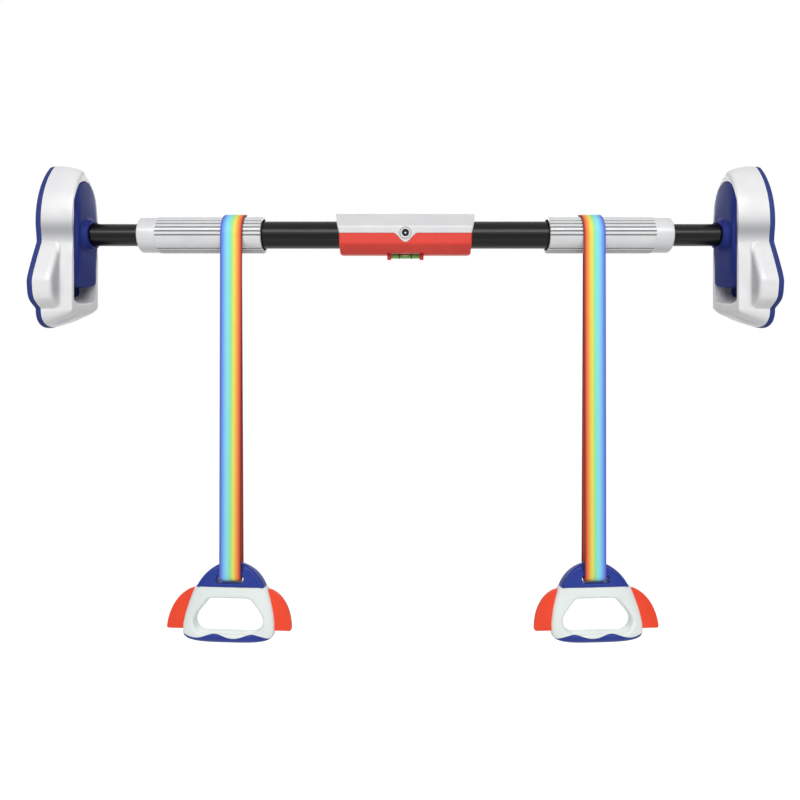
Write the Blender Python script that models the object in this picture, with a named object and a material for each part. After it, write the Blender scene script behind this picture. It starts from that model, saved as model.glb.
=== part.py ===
"""Doorway pull-up bar with two hanging rocket handles.

Metres, +Z up. The bar lies along X with its centre at the origin. Each side is built
in frames of its own: the foot's frame starts on the wall face of the pad and runs
inward, and the handle's frame lies on the strap's pivot in the handle's slot.
"""

import math

import bmesh
import bpy
from mathutils import Vector

# Clearance between pieces that touch, and the round pieces' facet counts
FIT = 0.0003
ROUND = 32
SMALL_ROUND = 16

# Whole bar: wall face to centre at rest, and the screw's travel each way
HALF_SPAN = 0.413
TRAVEL_IN = 0.045
TRAVEL_OUT = 0.055

# Main tube, in two halves that meet inside the centre sleeve
TUBE_RADIUS = 0.016
TUBE_WALL = 0.0012
TUBE_HALF_LENGTH = 0.2995
SLEEVE_WALL = 0.0027
SLEEVE_LENGTH = 0.120

# Telescoping inner tube, its end plugs, the lead screw and its nut
INNER_RADIUS = 0.013
INNER_WALL = 0.0015
INNER_LENGTH = 0.1977
PLUG_LENGTH = 0.020
SCREW_RADIUS = 0.005
NUT_LENGTH = 0.020
NUT_MARGIN = 0.003
SCREW_MARGIN = 0.005
BUSH_LENGTH = 0.028
BUSH_FLANGE = 0.002

# Centre cover: octagonal, split along a seam with a drooping screw tab front and back
COVER_APOTHEM = 0.02375
COVER_UPPER_FLAT = 0.0083
COVER_LOWER_FLAT = 0.0124
COVER_EDGE_RADIUS = 0.004
COVER_TOP_HALF = 0.080
COVER_SEAM_HALF = 0.075
COVER_BOTTOM_SEAM_HALF = 0.077
COVER_BOTTOM_HALF = 0.0755
COVER_CORNER = 0.0016
COVER_COLLAR_LENGTH = 0.014
SEAM_HEIGHT = 0.0007
TAB_HALF_WIDTH = 0.014
TAB_DROP = 0.0103

# Lock screws through the tabs
BOSS_RADIUS = 0.0075
BOSS_RING_RADIUS = 0.00575
BOSS_STEP = 0.0004
LOCK_HEAD_RADIUS = 0.0036
LOCK_HEAD_HEIGHT = 0.002
LOCK_HEAD_SEAT = 0.0031
LOCK_SHANK_RADIUS = 0.002

# Level vial under the cover
VIAL_RADIUS = 0.0031
VIAL_WALL = 0.0006
VIAL_GAP = 0.033
VIAL_SOCKET = 0.0012
VIAL_SEAT_CUT = 0.00245
POST_WIDTH = 0.0045
POST_HALF_DEPTH = 0.0048
POST_DROP = 0.0078
BUBBLE_HALF_LENGTH = 0.0045
BUBBLE_DEPTH = 0.0012

# Fluted hand grips
GRIP_RADIUS = 0.0215
GRIP_LENGTH = 0.141
GRIP_LIP = 0.0029
GRIP_COLLAR_RADIUS = 0.02085
GRIP_COLLAR_LENGTH = 0.0215
GRIP_COLLAR_ROUND = 0.0022
GRIP_RIM_WALL = 0.0032
GRIP_RECESS_DEPTH = 0.006
GRIP_EDGE = 0.0008
FLUTE_GROUPS = 4
FLUTES_IN_GROUP = 5
FLUTE_PITCH = math.radians(12.5)
FLUTE_HALF_ANGLE = math.radians(3)
FLUTE_DEPTH = 0.0012
FLUTE_FIRST_GROUP = math.radians(153)

# Foot seen from the side: dome, waist, fins and tail, measured from the bar's axis
DOME_TOP = 0.0799
DOME_LEVEL = 0.012
DOME_HALF_WIDTH = 0.029
WALL_FULLNESS = 0.85
FACE_FULLNESS = 0.62
WAIST_LEVEL = -0.010
WAIST_HALF_WIDTH = 0.027
FLANK_HALF_WIDTH = 0.0288
FIN_HALF_WIDTH = 0.0447
FIN_LEVEL = -0.058
FIN_END_LEVEL = -0.085
TAIL_DROP = 0.0235

# Foot from the wall inward
PAD_THICKNESS = 0.006
PAD_EDGE = 0.0008
TREAD_DEPTH = 0.0012
TREAD_HEIGHT = 0.0025
TREAD_PITCH = 0.012
TREAD_COUNT = 4
TREAD_MARGIN = 0.007
FIN_THICKNESS = 0.0267
FIN_ROUND = 0.0035
FUSELAGE_DEPTH = 0.041
FACE_ROUND = 0.003
FACE_EDGE = 0.0008
FULL_SECTION_DEPTH = 0.009
PAD_TOP_FALL = 0.0015
TOP_FALL_LENGTH = 0.034
TOP_FALL_HEIGHT = 0.0125
TAIL_SLOPE = 0.22
TAIL_FALL_LENGTH = 0.042
TAIL_FALL_HEIGHT = 0.008
SHELL_WALL = 0.0024
BASE_THICKNESS = 0.0029

# Pocket in the foot, the sliding hub plate and the ramp that wedges the foot outward
POCKET_HALF_WIDTH = 0.0242
POCKET_UNDERCUT = 0.02
POCKET_TOP = 0.062
POCKET_ARCH = 0.030
POCKET_BOTTOM = -0.080
POCKET_END_ROUND = 0.008
POCKET_END_SLOPE = 0.33
PLATE_CLEARANCE = 0.0005
PLATE_BOTTOM = -0.0615
PLATE_CORNER = 0.005
PLATE_EDGE_DEPTH = 0.0412
PLATE_CROWN = 0.0033
RAMP_ANGLE = math.radians(5)
RAMP_HIGH_LEVEL = -0.070
RAMP_HIGH_DEPTH = 0.021

# Hub collar, its bore and the bolt that holds the inner tube
COLLAR_RADIUS = 0.0168
COLLAR_LIP_RADIUS = 0.0160
COLLAR_DEPTH = 0.0515
COLLAR_FILLET = 0.0035
HUB_BORE_DEPTH = 0.030
HUB_SEAT_DEPTH = 0.022
HUB_BOLT_RADIUS = 0.003
HUB_BOLT_HEAD_RADIUS = 0.0065
HUB_BOLT_HEAD_HEIGHT = 0.005
HUB_BOLT_GRIP = 0.016

# Screws that hold the foot's base in its shell
FOOT_SCREW_LEVELS = (0.067, -0.094)
FOOT_SCREW_HEAD_RADIUS = 0.0032
FOOT_SCREW_HEAD_HEIGHT = 0.0016
FOOT_SCREW_SEAT = 0.0021
FOOT_SCREW_RADIUS = 0.0016
FOOT_SCREW_LENGTH = 0.014

# Straps: each lies a little askew over its grip, its back run further outboard
LEFT_STRAP_OFFSET = 0.2003
RIGHT_STRAP_OFFSET = 0.2172
STRAP_WIDTH = 0.025
STRAP_THICKNESS = 0.0018
STRAP_FRONT_SHIFT = -0.0042
STRAP_BACK_SHIFT = 0.0085
PIVOT_DROP = 0.3865

# Handle: heights from the strap's pivot in the slot, and how far it leans to the front
HANDLE_LEAN = math.radians(12)
BRIDGE_RADIUS = 0.0055
SLOT_BOTTOM = -0.0105
SLOT_HALF_WIDTH = 0.0165
DOME_ARC_RADIUS = 0.0426
DOME_ARC_CENTRE = -0.0348
DOME_BASE = -0.0194
DOME_NOSE_THICKNESS = 0.0050
DOME_PIVOT_THICKNESS = 0.0106
DOME_BASE_THICKNESS = 0.0170
DOME_RIM_WIDTH = 0.0035
DOME_RIM_RISE = 0.0007
BODY_TOP_HALF_WIDTH = 0.042
BODY_HALF_WIDTH = 0.0536
BODY_WIDEST = -0.0630
BODY_BOTTOM = -0.0860
BODY_TOP_THICKNESS = 0.0176
BODY_THICKNESS = 0.0200
OPENING_TOP = -0.0319
OPENING_BOTTOM = -0.0722
OPENING_WIDEST = -0.0548
OPENING_TOP_HALF = 0.0275
OPENING_HALF_WIDTH = 0.0398
OPENING_BOTTOM_HALF = 0.0320
OPENING_CORNER = 0.0085
OPENING_ROUND = 0.004
WAVE_LEVEL = -0.0768
WAVE_HEIGHT = 0.0026
WAVE_LENGTH = 0.0435
WAVE_CREST_OFFSET = 0.0142
WING_THICKNESS = 0.005
WING_CENTRE = (0.038, -0.0685)
WING_RADII = (0.0343, 0.0485)
WING_BOTTOM = -0.0705
WING_TONGUE = 0.003

LEFT, RIGHT = -1, 1

# Sizes that follow from the ones above
TUBE_BORE = TUBE_RADIUS - TUBE_WALL
SLEEVE_BORE = TUBE_RADIUS + FIT
SLEEVE_RADIUS = SLEEVE_BORE + SLEEVE_WALL
INNER_BORE = INNER_RADIUS - INNER_WALL
GRIP_OUTER_END = TUBE_HALF_LENGTH + FIT + BUSH_FLANGE + FIT + GRIP_LIP
GRIP_INNER_END = GRIP_OUTER_END - GRIP_LENGTH
HUB_TUBE_DEPTH = HUB_BORE_DEPTH + FIT
INNER_END_DEPTH = HUB_TUBE_DEPTH + INNER_LENGTH
NUT_OUTER_END = HALF_SPAN - INNER_END_DEPTH - TRAVEL_IN - NUT_MARGIN
SCREW_TIP_DEPTH = HALF_SPAN - (NUT_OUTER_END - NUT_LENGTH - TRAVEL_OUT - SCREW_MARGIN)
SHELL_BACK = PAD_THICKNESS + FIT
BASE_TOP = SHELL_BACK + BASE_THICKNESS
CAVITY_TOP = BASE_TOP + FIT
STRAP_TOP_RADIUS = GRIP_RADIUS + FIT
STRAP_TOP_STEPS = ROUND // 2
STRAP_PIVOT_RADIUS = BRIDGE_RADIUS + FIT


def material(name, colour, roughness, metallic=0.0):
    """A Principled material with a plain colour."""
    made = bpy.data.materials.new(name)
    made.use_nodes = True
    shader = made.node_tree.nodes["Principled BSDF"]
    shader.inputs["Base Color"].default_value = (*colour, 1.0)
    shader.inputs["Roughness"].default_value = roughness
    shader.inputs["Metallic"].default_value = metallic
    made.diffuse_color = (*colour, 1.0)
    return made


def frame(name, location, turned=False):
    """An empty that pieces are placed from; turned looks the other way along X."""
    empty = bpy.data.objects.new(name, None)
    empty.location = location
    empty.rotation_euler = (0.0, 0.0, math.pi if turned else 0.0)
    bpy.context.scene.collection.objects.link(empty)
    return empty


def solid(name, bm, finish, parent=None):
    """An object from a bmesh, shaded smooth with crisp edges."""
    bmesh.ops.recalc_face_normals(bm, faces=bm.faces)
    mesh = bpy.data.meshes.new(name)
    bm.to_mesh(mesh)
    bm.free()
    mesh.shade_smooth()
    mesh.set_sharp_from_angle(angle=math.radians(32))
    made = bpy.data.objects.new(name, mesh)
    if finish:
        mesh.materials.append(finish)
    made.parent = parent
    bpy.context.scene.collection.objects.link(made)
    return made


def boolean(target, tool, operation):
    """Adds a Boolean whose tool stays in the scene as a wire guide."""
    tool.hide_render = True
    tool.display_type = "WIRE"
    step = target.modifiers.new(tool.name, "BOOLEAN")
    step.object = tool
    step.operation = operation
    step.solver = "EXACT"


def cut(target, bm, name):
    """Cuts a bmesh out of an object, in the object's own frame."""
    boolean(target, solid(f"{target.name}_{name}", bm, None, target.parent), "DIFFERENCE")


def join(target, bm, name):
    """Joins a bmesh to an object, in the object's own frame."""
    boolean(target, solid(f"{target.name}_{name}", bm, None, target.parent), "UNION")


def keep(target, bm, name):
    """Keeps only what of an object lies inside a bmesh."""
    boolean(target, solid(f"{target.name}_{name}", bm, None, target.parent), "INTERSECT")


def loft(rings, looped=False):
    """A closed skin over rings of equal counts, capped at both ends unless looped."""
    bm = bmesh.new()
    rows = [[bm.verts.new(point) for point in ring] for ring in rings]
    pairs = list(zip(rows, rows[1:]))
    if looped:
        pairs.append((rows[-1], rows[0]))
    for low, high in pairs:
        for i in range(len(low)):
            j = (i + 1) % len(low)
            bm.faces.new((low[i], low[j], high[j], high[i]))
    if not looped:
        bm.faces.new(list(reversed(rows[0])))
        bm.faces.new(rows[-1])
    return bm


def ring(x, radius, count, turn=0.0):
    """A circle about the X axis."""
    angles = [turn + 2 * math.pi * i / count for i in range(count)]
    return [Vector((x, radius * math.cos(a), radius * math.sin(a))) for a in angles]


def turned(profile, count=ROUND, looped=False):
    """A body turned about X from (x, radius) points; looped for one with a bore."""
    return loft([ring(x, radius, count) for x, radius in profile], looped)


def tube(start, end, radius, bore, count=ROUND):
    """A plain tube along X."""
    return turned([(start, bore), (start, radius), (end, radius), (end, bore)], count, looped=True)


def moved(bm, offset=(0, 0, 0), turn_to_y=False):
    """Turns a bmesh from the X axis to the Y axis if asked, then moves it."""
    for vert in bm.verts:
        x, y, z = vert.co
        if turn_to_y:
            x, y = -y, x
        vert.co = Vector((x, y, z)) + Vector(offset)
    return bm


def joined(*parts):
    """Several bmeshes in one."""
    whole = bmesh.new()
    for part in parts:
        mesh = bpy.data.meshes.new("part")
        part.to_mesh(mesh)
        part.free()
        whole.from_mesh(mesh)
        bpy.data.meshes.remove(mesh)
    return whole


def block(low, high):
    """A box between two corners."""
    bm = bmesh.new()
    bmesh.ops.create_cube(bm, size=1.0)
    low, high = Vector(low), Vector(high)
    for vert in bm.verts:
        vert.co = (low + high) / 2 + vert.co * (high - low)
    return bm


def prism(outline, start, end):
    """An outline of (x, z) points carried along Y."""
    return loft([[Vector((x, y, z)) for x, z in outline] for y in (start, end)])


def curve_through(points, steps):
    """A smooth curve through a few (level, width) points, ends included."""
    ends = [points[0], *points, points[-1]]
    out = []
    for a, b, c, d in zip(ends, ends[1:], ends[2:], ends[3:]):
        for i in range(steps):
            t = i / steps
            weights = (
                -t / 2 + t**2 - t**3 / 2,
                1 - 5 * t**2 / 2 + 3 * t**3 / 2,
                t / 2 + 2 * t**2 - 3 * t**3 / 2,
                -(t**2) / 2 + t**3 / 2,
            )
            out.append(tuple(sum(w * p[k] for w, p in zip(weights, (a, b, c, d))) for k in (0, 1)))
    return out + [points[-1]]


def both_sides(half):
    """A closed outline of (level, width) points from its half, top to bottom."""
    return half + [(level, -width) for level, width in reversed(half[1:-1])]


def main_tubes(finish):
    """The two halves of the outer tube."""
    for side, name in ((LEFT, "main_tube_left"), (RIGHT, "main_tube_right")):
        parent = frame(f"{name}_frame", (0, 0, 0), turned=side == LEFT)
        solid(name, tube(FIT, TUBE_HALF_LENGTH, TUBE_RADIUS, TUBE_BORE), finish, parent)


def coupling_sleeve(finish):
    """The steel sleeve round the joint of the tube halves, with two screw holes."""
    half = SLEEVE_LENGTH / 2
    sleeve = solid("coupling_sleeve", tube(-half, half, SLEEVE_RADIUS, SLEEVE_BORE), finish)
    reach = SLEEVE_RADIUS + SLEEVE_WALL
    hole = turned([(-reach, LOCK_SHANK_RADIUS + FIT), (reach, LOCK_SHANK_RADIUS + FIT)], SMALL_ROUND)
    cut(sleeve, moved(hole, (0, 0, SEAM_HEIGHT), turn_to_y=True), "screw_holes")


def octagon(x):
    """The cover's outline at x: eight flats with rounded edges between them.

    The front, back and top flats reach up to the upper flat's half width, and the front,
    back and bottom ones down to the lower flat's.
    """
    inset = COVER_EDGE_RADIUS / math.cos(math.pi / 8)
    points = []
    for i in range(8):
        middle = math.pi / 8 + i * math.pi / 4
        flat = COVER_UPPER_FLAT if i < 4 else COVER_LOWER_FLAT
        on_side = i in (0, 3, 4, 7)
        wide, high = (COVER_APOTHEM, flat) if on_side else (flat, COVER_APOTHEM)
        along, up = math.cos(middle), math.sin(middle)
        corner = Vector((x, math.copysign(wide, along), math.copysign(high, up)))
        hub = corner - Vector((0, along, up)) * inset
        for turn in (-math.pi / 8, 0.0, math.pi / 8):
            across = Vector((0, math.cos(middle + turn), math.sin(middle + turn)))
            points.append(hub + across * COVER_EDGE_RADIUS)
    return points


def cover_tube():
    """The whole cover before it is split: octagonal outside, stepped bore inside."""
    end = COVER_TOP_HALF + COVER_CORNER
    step = COVER_TOP_HALF - COVER_COLLAR_LENGTH
    bore = [
        (end, SLEEVE_BORE),
        (step, SLEEVE_BORE),
        (step, SLEEVE_RADIUS + FIT),
        (-step, SLEEVE_RADIUS + FIT),
        (-step, SLEEVE_BORE),
        (-end, SLEEVE_BORE),
    ]
    rings = [octagon(-end), octagon(end)]
    rings += [ring(x, radius, 24) for x, radius in bore]
    return loft(rings, looped=True)


def tab_edge(seam, drop, half_width):
    """The drooping middle of the seam, from -X to +X, as a raised cosine."""
    steps = 12
    points = []
    for i in range(steps + 1):
        x = half_width * (2 * i / steps - 1)
        points.append((x, seam - drop * (1 + math.cos(math.pi * x / half_width)) / 2))
    return points


def cover_top(finish):
    """The white upper half with its screw tabs and stepped bosses."""
    cover = solid("cover_top", cover_tube(), finish)
    high = COVER_APOTHEM
    slope = (COVER_TOP_HALF - COVER_SEAM_HALF) / (high - SEAM_HEIGHT)
    corner_half = COVER_TOP_HALF - COVER_CORNER * slope
    region = [
        (-COVER_TOP_HALF + COVER_CORNER, high + COVER_CORNER),
        (-COVER_TOP_HALF + COVER_CORNER, high),
        (-corner_half, high - COVER_CORNER),
        (-COVER_SEAM_HALF, SEAM_HEIGHT),
        *tab_edge(SEAM_HEIGHT, TAB_DROP, TAB_HALF_WIDTH),
        (COVER_SEAM_HALF, SEAM_HEIGHT),
        (corner_half, high - COVER_CORNER),
        (COVER_TOP_HALF - COVER_CORNER, high),
        (COVER_TOP_HALF - COVER_CORNER, high + COVER_CORNER),
    ]
    keep(cover, prism(region, -2 * high, 2 * high), "upper_region")
    root = SLEEVE_RADIUS + 2 * FIT
    face = COVER_APOTHEM
    seat = face - LOCK_HEAD_SEAT
    for side, name in ((LEFT, "front"), (RIGHT, "back")):
        boss = turned(
            [
                (root, BOSS_RADIUS),
                (face + BOSS_STEP, BOSS_RADIUS),
                (face + BOSS_STEP, BOSS_RING_RADIUS),
                (face + 2 * BOSS_STEP, BOSS_RING_RADIUS - BOSS_STEP),
            ],
            SMALL_ROUND,
        )
        hole = turned(
            [
                (root - SLEEVE_WALL, LOCK_SHANK_RADIUS + FIT),
                (seat, LOCK_SHANK_RADIUS + FIT),
                (seat, LOCK_HEAD_RADIUS + 2 * FIT),
                (face + 4 * BOSS_STEP, LOCK_HEAD_RADIUS + 2 * FIT),
            ],
            SMALL_ROUND,
        )
        for part, step in ((boss, join), (hole, cut)):
            for vert in part.verts:
                vert.co.x *= side
            step(cover, moved(part, (0, 0, SEAM_HEIGHT), turn_to_y=True), f"{name}_{step.__name__}")
    return cover


def cover_bottom(finish):
    """The red lower half with the posts and the flat seat of the level vial."""
    cover = solid("cover_bottom", cover_tube(), finish)
    low = -COVER_APOTHEM
    seam = SEAM_HEIGHT - FIT
    region = [
        (-COVER_BOTTOM_HALF + COVER_CORNER, low - COVER_CORNER),
        (-COVER_BOTTOM_HALF + COVER_CORNER, low),
        (-COVER_BOTTOM_HALF, low + COVER_CORNER),
        (-COVER_BOTTOM_SEAM_HALF, seam),
        *tab_edge(seam, TAB_DROP, TAB_HALF_WIDTH + FIT),
        (COVER_BOTTOM_SEAM_HALF, seam),
        (COVER_BOTTOM_HALF, low + COVER_CORNER),
        (COVER_BOTTOM_HALF - COVER_CORNER, low),
        (COVER_BOTTOM_HALF - COVER_CORNER, low - COVER_CORNER),
    ]
    keep(cover, prism(region, 2 * low, -2 * low), "lower_region")
    seat = low + VIAL_SEAT_CUT
    inner = VIAL_GAP / 2
    cut(cover, block((-inner, 2 * low, 2 * low), (inner, -2 * low, seat)), "vial_seat")
    for side, name in ((LEFT, "left"), (RIGHT, "right")):
        ends = sorted((side * inner, side * (inner + POST_WIDTH)))
        depth = POST_HALF_DEPTH
        post = block((ends[0], -depth, seat - POST_DROP), (ends[1], depth, seat + FIT))
        bmesh.ops.bevel(
            post,
            geom=[e for e in post.edges if all(v.co.z < seat - FIT for v in e.verts)],
            offset=POST_WIDTH / 6,
            segments=2,
            affect="EDGES",
        )
        join(cover, post, f"{name}_post")
    reach = inner + VIAL_SOCKET + FIT
    socket = turned([(-reach, VIAL_RADIUS + FIT), (reach, VIAL_RADIUS + FIT)], SMALL_ROUND)
    cut(cover, moved(socket, (0, 0, seat - FIT - VIAL_RADIUS)), "vial_sockets")
    return cover


def lock_screws(finish):
    """The two screws that pin the cover and the sleeve together."""
    seat = COVER_APOTHEM - LOCK_HEAD_SEAT
    tip = SLEEVE_BORE + FIT
    under = seat + FIT
    top = under + LOCK_HEAD_HEIGHT
    for side, name in ((LEFT, "lock_screw_front"), (RIGHT, "lock_screw_back")):
        body = turned(
            [
                (tip, LOCK_SHANK_RADIUS),
                (under, LOCK_SHANK_RADIUS),
                (under, LOCK_HEAD_RADIUS),
                (top - FIT, LOCK_HEAD_RADIUS),
                (top, LOCK_HEAD_RADIUS - FIT),
            ],
            SMALL_ROUND,
        )
        for vert in body.verts:
            vert.co.x *= side
        screw = solid(name, moved(body, turn_to_y=True), finish)
        screw.location = (0, 0, SEAM_HEIGHT)


def level_vial(glass, fluid):
    """The clear tube of the level and the fluid in it, flattened by its bubble."""
    height = -COVER_APOTHEM + VIAL_SEAT_CUT - FIT - VIAL_RADIUS
    half = VIAL_GAP / 2 + VIAL_SOCKET
    bore = VIAL_RADIUS - VIAL_WALL
    vial = solid("level_vial", tube(-half, half, VIAL_RADIUS, bore, SMALL_ROUND), glass)
    vial.location = (0, 0, height)
    core = bore - FIT
    body = turned([(-half + FIT, core), (half - FIT, core)], SMALL_ROUND)
    liquid = solid("level_fluid", body, fluid)
    notch = block(
        (-BUBBLE_HALF_LENGTH, -VIAL_RADIUS, core - BUBBLE_DEPTH),
        (BUBBLE_HALF_LENGTH, VIAL_RADIUS, VIAL_RADIUS),
    )
    cut(liquid, moved(notch, (0, 0, height)), "bubble")
    liquid.location = (0, 0, height)


def flute_angles():
    """(angle, depth share) points round the grip: grouped flutes and plain bands."""
    points = []
    group = 2 * math.pi / FLUTE_GROUPS
    span = (FLUTES_IN_GROUP - 1) / 2 * FLUTE_PITCH
    wide = FLUTE_HALF_ANGLE
    for g in range(FLUTE_GROUPS):
        centre = FLUTE_FIRST_GROUP + g * group
        for k in range(FLUTES_IN_GROUP):
            middle = centre - span + k * FLUTE_PITCH
            points += [(middle - wide, 0), (middle, 1), (middle + wide, 0)]
        start = centre + span + wide
        plain = group - 2 * span - 2 * wide
        points += [(start + plain * i / 3, 0) for i in (1, 2)]
    return points


def grip(name, side, finish):
    """A fluted sleeve with a plain collar, a lip over the tube's end and a rim recess."""
    angles = flute_angles()

    def section(x, radius, depth=0.0):
        spokes = [(radius - depth * share, angle) for angle, share in angles]
        return [Vector((x, side * r * math.cos(a), r * math.sin(a))) for r, a in spokes]

    length = GRIP_LENGTH
    collar = length - GRIP_COLLAR_LENGTH
    rings = [
        section(0, GRIP_RADIUS - GRIP_EDGE, FLUTE_DEPTH - GRIP_EDGE / 2),
        section(GRIP_EDGE, GRIP_RADIUS, FLUTE_DEPTH),
        section(collar, GRIP_RADIUS, FLUTE_DEPTH),
        section(collar + GRIP_EDGE, GRIP_COLLAR_RADIUS),
        section(length - GRIP_COLLAR_ROUND, GRIP_COLLAR_RADIUS),
        section(length, GRIP_COLLAR_RADIUS - GRIP_COLLAR_ROUND),
    ]
    parent = frame(f"{name}_frame", (side * GRIP_INNER_END, 0, 0), turned=side == LEFT)
    sleeve = solid(name, loft(rings), finish, parent)
    rim = GRIP_RADIUS - GRIP_RIM_WALL
    lip_bore = INNER_RADIUS + 2 * FIT
    bore = [
        (-GRIP_RECESS_DEPTH, rim),
        (GRIP_RECESS_DEPTH, rim),
        (GRIP_RECESS_DEPTH, SLEEVE_BORE),
        (length - GRIP_LIP, SLEEVE_BORE),
        (length - GRIP_LIP, lip_bore),
        (length + GRIP_LIP, lip_bore),
    ]
    cut(sleeve, turned(bore, 24), "bore")


def drive_nut(name, side, finish):
    """The nut fixed in the main tube that the lead screw runs in."""
    outer = TUBE_BORE - FIT
    body = tube(NUT_OUTER_END - NUT_LENGTH, NUT_OUTER_END, outer, SCREW_RADIUS + FIT, SMALL_ROUND)
    parent = frame(f"{name}_frame", (0, 0, 0), turned=side == LEFT)
    solid(name, body, finish, parent)


def guide_bush(name, side, finish):
    """The flanged bush that turns in the tube's mouth and guides the inner tube."""
    bore = INNER_RADIUS + FIT
    flange = TUBE_HALF_LENGTH + FIT
    profile = [
        (TUBE_HALF_LENGTH - BUSH_LENGTH, bore),
        (TUBE_HALF_LENGTH - BUSH_LENGTH, TUBE_BORE - FIT),
        (flange, TUBE_BORE - FIT),
        (flange, TUBE_RADIUS),
        (flange + BUSH_FLANGE, TUBE_RADIUS),
        (flange + BUSH_FLANGE, bore),
    ]
    parent = frame(f"{name}_frame", (0, 0, 0), turned=side == LEFT)
    solid(name, turned(profile, 24, looped=True), finish, parent)


def inner_tube_pieces(side_name, parent, steel, plastic):
    """The inner tube, a plug in each end and the lead screw, in the foot's frame."""
    start, end = HUB_TUBE_DEPTH, INNER_END_DEPTH
    solid(f"{side_name}_inner_tube", tube(start, end, INNER_RADIUS, INNER_BORE, 24), steel, parent)
    outer = INNER_BORE - FIT
    bolt_bore = HUB_BOLT_RADIUS + FIT
    plug_end = start + PLUG_LENGTH
    profile = [
        (start, bolt_bore),
        (start, outer),
        (plug_end, outer),
        (plug_end, bolt_bore),
    ]
    end_plug = turned(profile, SMALL_ROUND, looped=True)
    solid(f"{side_name}_end_plug", end_plug, plastic, parent)
    plug_start = end - PLUG_LENGTH
    screw_bore = SCREW_RADIUS + FIT
    screw_seat = plug_start + SCREW_RADIUS / 2
    screw_plug = turned(
        [
            (plug_start, outer),
            (end, outer),
            (end, screw_bore),
            (screw_seat, screw_bore),
        ],
        SMALL_ROUND,
    )
    solid(f"{side_name}_screw_plug", screw_plug, plastic, parent)
    tip = SCREW_TIP_DEPTH
    screw = turned(
        [
            (screw_seat + FIT, SCREW_RADIUS),
            (tip - SCREW_RADIUS / 3, SCREW_RADIUS),
            (tip, SCREW_RADIUS * 0.7),
        ],
        SMALL_ROUND,
    )
    solid(f"{side_name}_lead_screw", screw, steel, parent)


def dome_half(top, half_width, waist, fullness, steps=7):
    """Half the dome's outline, (level, width) from its tip down to the waist."""
    points = []
    for i in range(steps + 1):
        share = math.cos(math.pi / 2 * i / steps)
        width = half_width * max(0.0, 1 - share**2.1) ** fullness
        points.append((DOME_LEVEL + (top - DOME_LEVEL) * share, width))
    points.append(((DOME_LEVEL + WAIST_LEVEL) / 2, half_width - (half_width - waist) * 0.4))
    return points


def tail_half(bottom, half_width, steps=5):
    """Half the tail's outline, from the fins' end down to its lowest point."""
    points = []
    for i in range(steps + 1):
        share = math.sin(math.pi / 2 * i / steps)
        width = half_width * max(0.0, 1 - share**2.4) ** (1 / 2.4)
        points.append((FIN_END_LEVEL + (bottom - FIN_END_LEVEL) * share, width))
    return points


def flank_half(fins):
    """Half the outline between waist and tail, with the fins' sweep or straight."""
    if not fins:
        levels = [level for level, _ in flank_half(True)]
        blend = FIN_LEVEL - WAIST_LEVEL
        rise = FLANK_HALF_WIDTH - WAIST_HALF_WIDTH
        shares = [min(1.0, 2.5 * (level - WAIST_LEVEL) / blend) for level in levels]
        return [
            (level, WAIST_HALF_WIDTH + rise * math.sin(math.pi / 2 * share))
            for level, share in zip(levels, shares)
        ]
    sweep = FIN_HALF_WIDTH - WAIST_HALF_WIDTH
    drop = FIN_LEVEL - WAIST_LEVEL
    end = FIN_END_LEVEL - FIN_LEVEL
    points = [
        (WAIST_LEVEL, WAIST_HALF_WIDTH),
        (WAIST_LEVEL + 0.40 * drop, WAIST_HALF_WIDTH + 0.50 * sweep),
        (WAIST_LEVEL + 0.80 * drop, FIN_HALF_WIDTH - 0.06 * sweep),
        (FIN_LEVEL, FIN_HALF_WIDTH),
        (FIN_LEVEL + 0.55 * end, FIN_HALF_WIDTH - 0.18 * sweep),
        (FIN_END_LEVEL - 0.04 * end, FLANK_HALF_WIDTH + 0.05 * sweep),
    ]
    return curve_through(points, 2)


def section_top(depth):
    """Level of the dome's tip at a depth from the wall."""
    if depth < FULL_SECTION_DEPTH:
        return DOME_TOP - PAD_TOP_FALL * ((FULL_SECTION_DEPTH - depth) / FULL_SECTION_DEPTH) ** 2
    share = (depth - FULL_SECTION_DEPTH) / TOP_FALL_LENGTH
    return DOME_TOP - TOP_FALL_HEIGHT * (1 - math.sqrt(1 - share**2))


def section_bottom(depth):
    """Level of the tail's lowest point at a depth from the wall."""
    share = depth / TAIL_FALL_LENGTH
    rise = TAIL_SLOPE * depth + TAIL_FALL_HEIGHT * (1 - math.sqrt(1 - share**2))
    return FIN_END_LEVEL - TAIL_DROP + rise


def foot_section(depth, inset=0.0, fins=True, fin_inset=0.0, end_inset=0.0):
    """The foot's outline at a depth from the wall, drawn in by an inset."""
    top = section_top(depth) - inset - end_inset
    bottom = section_bottom(depth) + inset + end_inset
    share = depth / FUSELAGE_DEPTH
    fullness = WALL_FULLNESS + (FACE_FULLNESS - WALL_FULLNESS) * share
    plain = dome_half(top, DOME_HALF_WIDTH, WAIST_HALF_WIDTH, fullness)
    tail = tail_half(bottom, FLANK_HALF_WIDTH)
    flank = flank_half(False)
    swept = flank_half(True) if fins else flank
    middle = [
        (level, max(width, fin_width - fin_inset))
        for (level, width), (_, fin_width) in zip(flank, swept)
    ]
    half = [
        (level, max(width / 3, width - inset))
        for level, width in plain + middle + tail
    ]
    half[0], half[-1] = (top, 0.0), (bottom, 0.0)
    return [Vector((depth, width, level)) for level, width in both_sides(half)]


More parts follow.
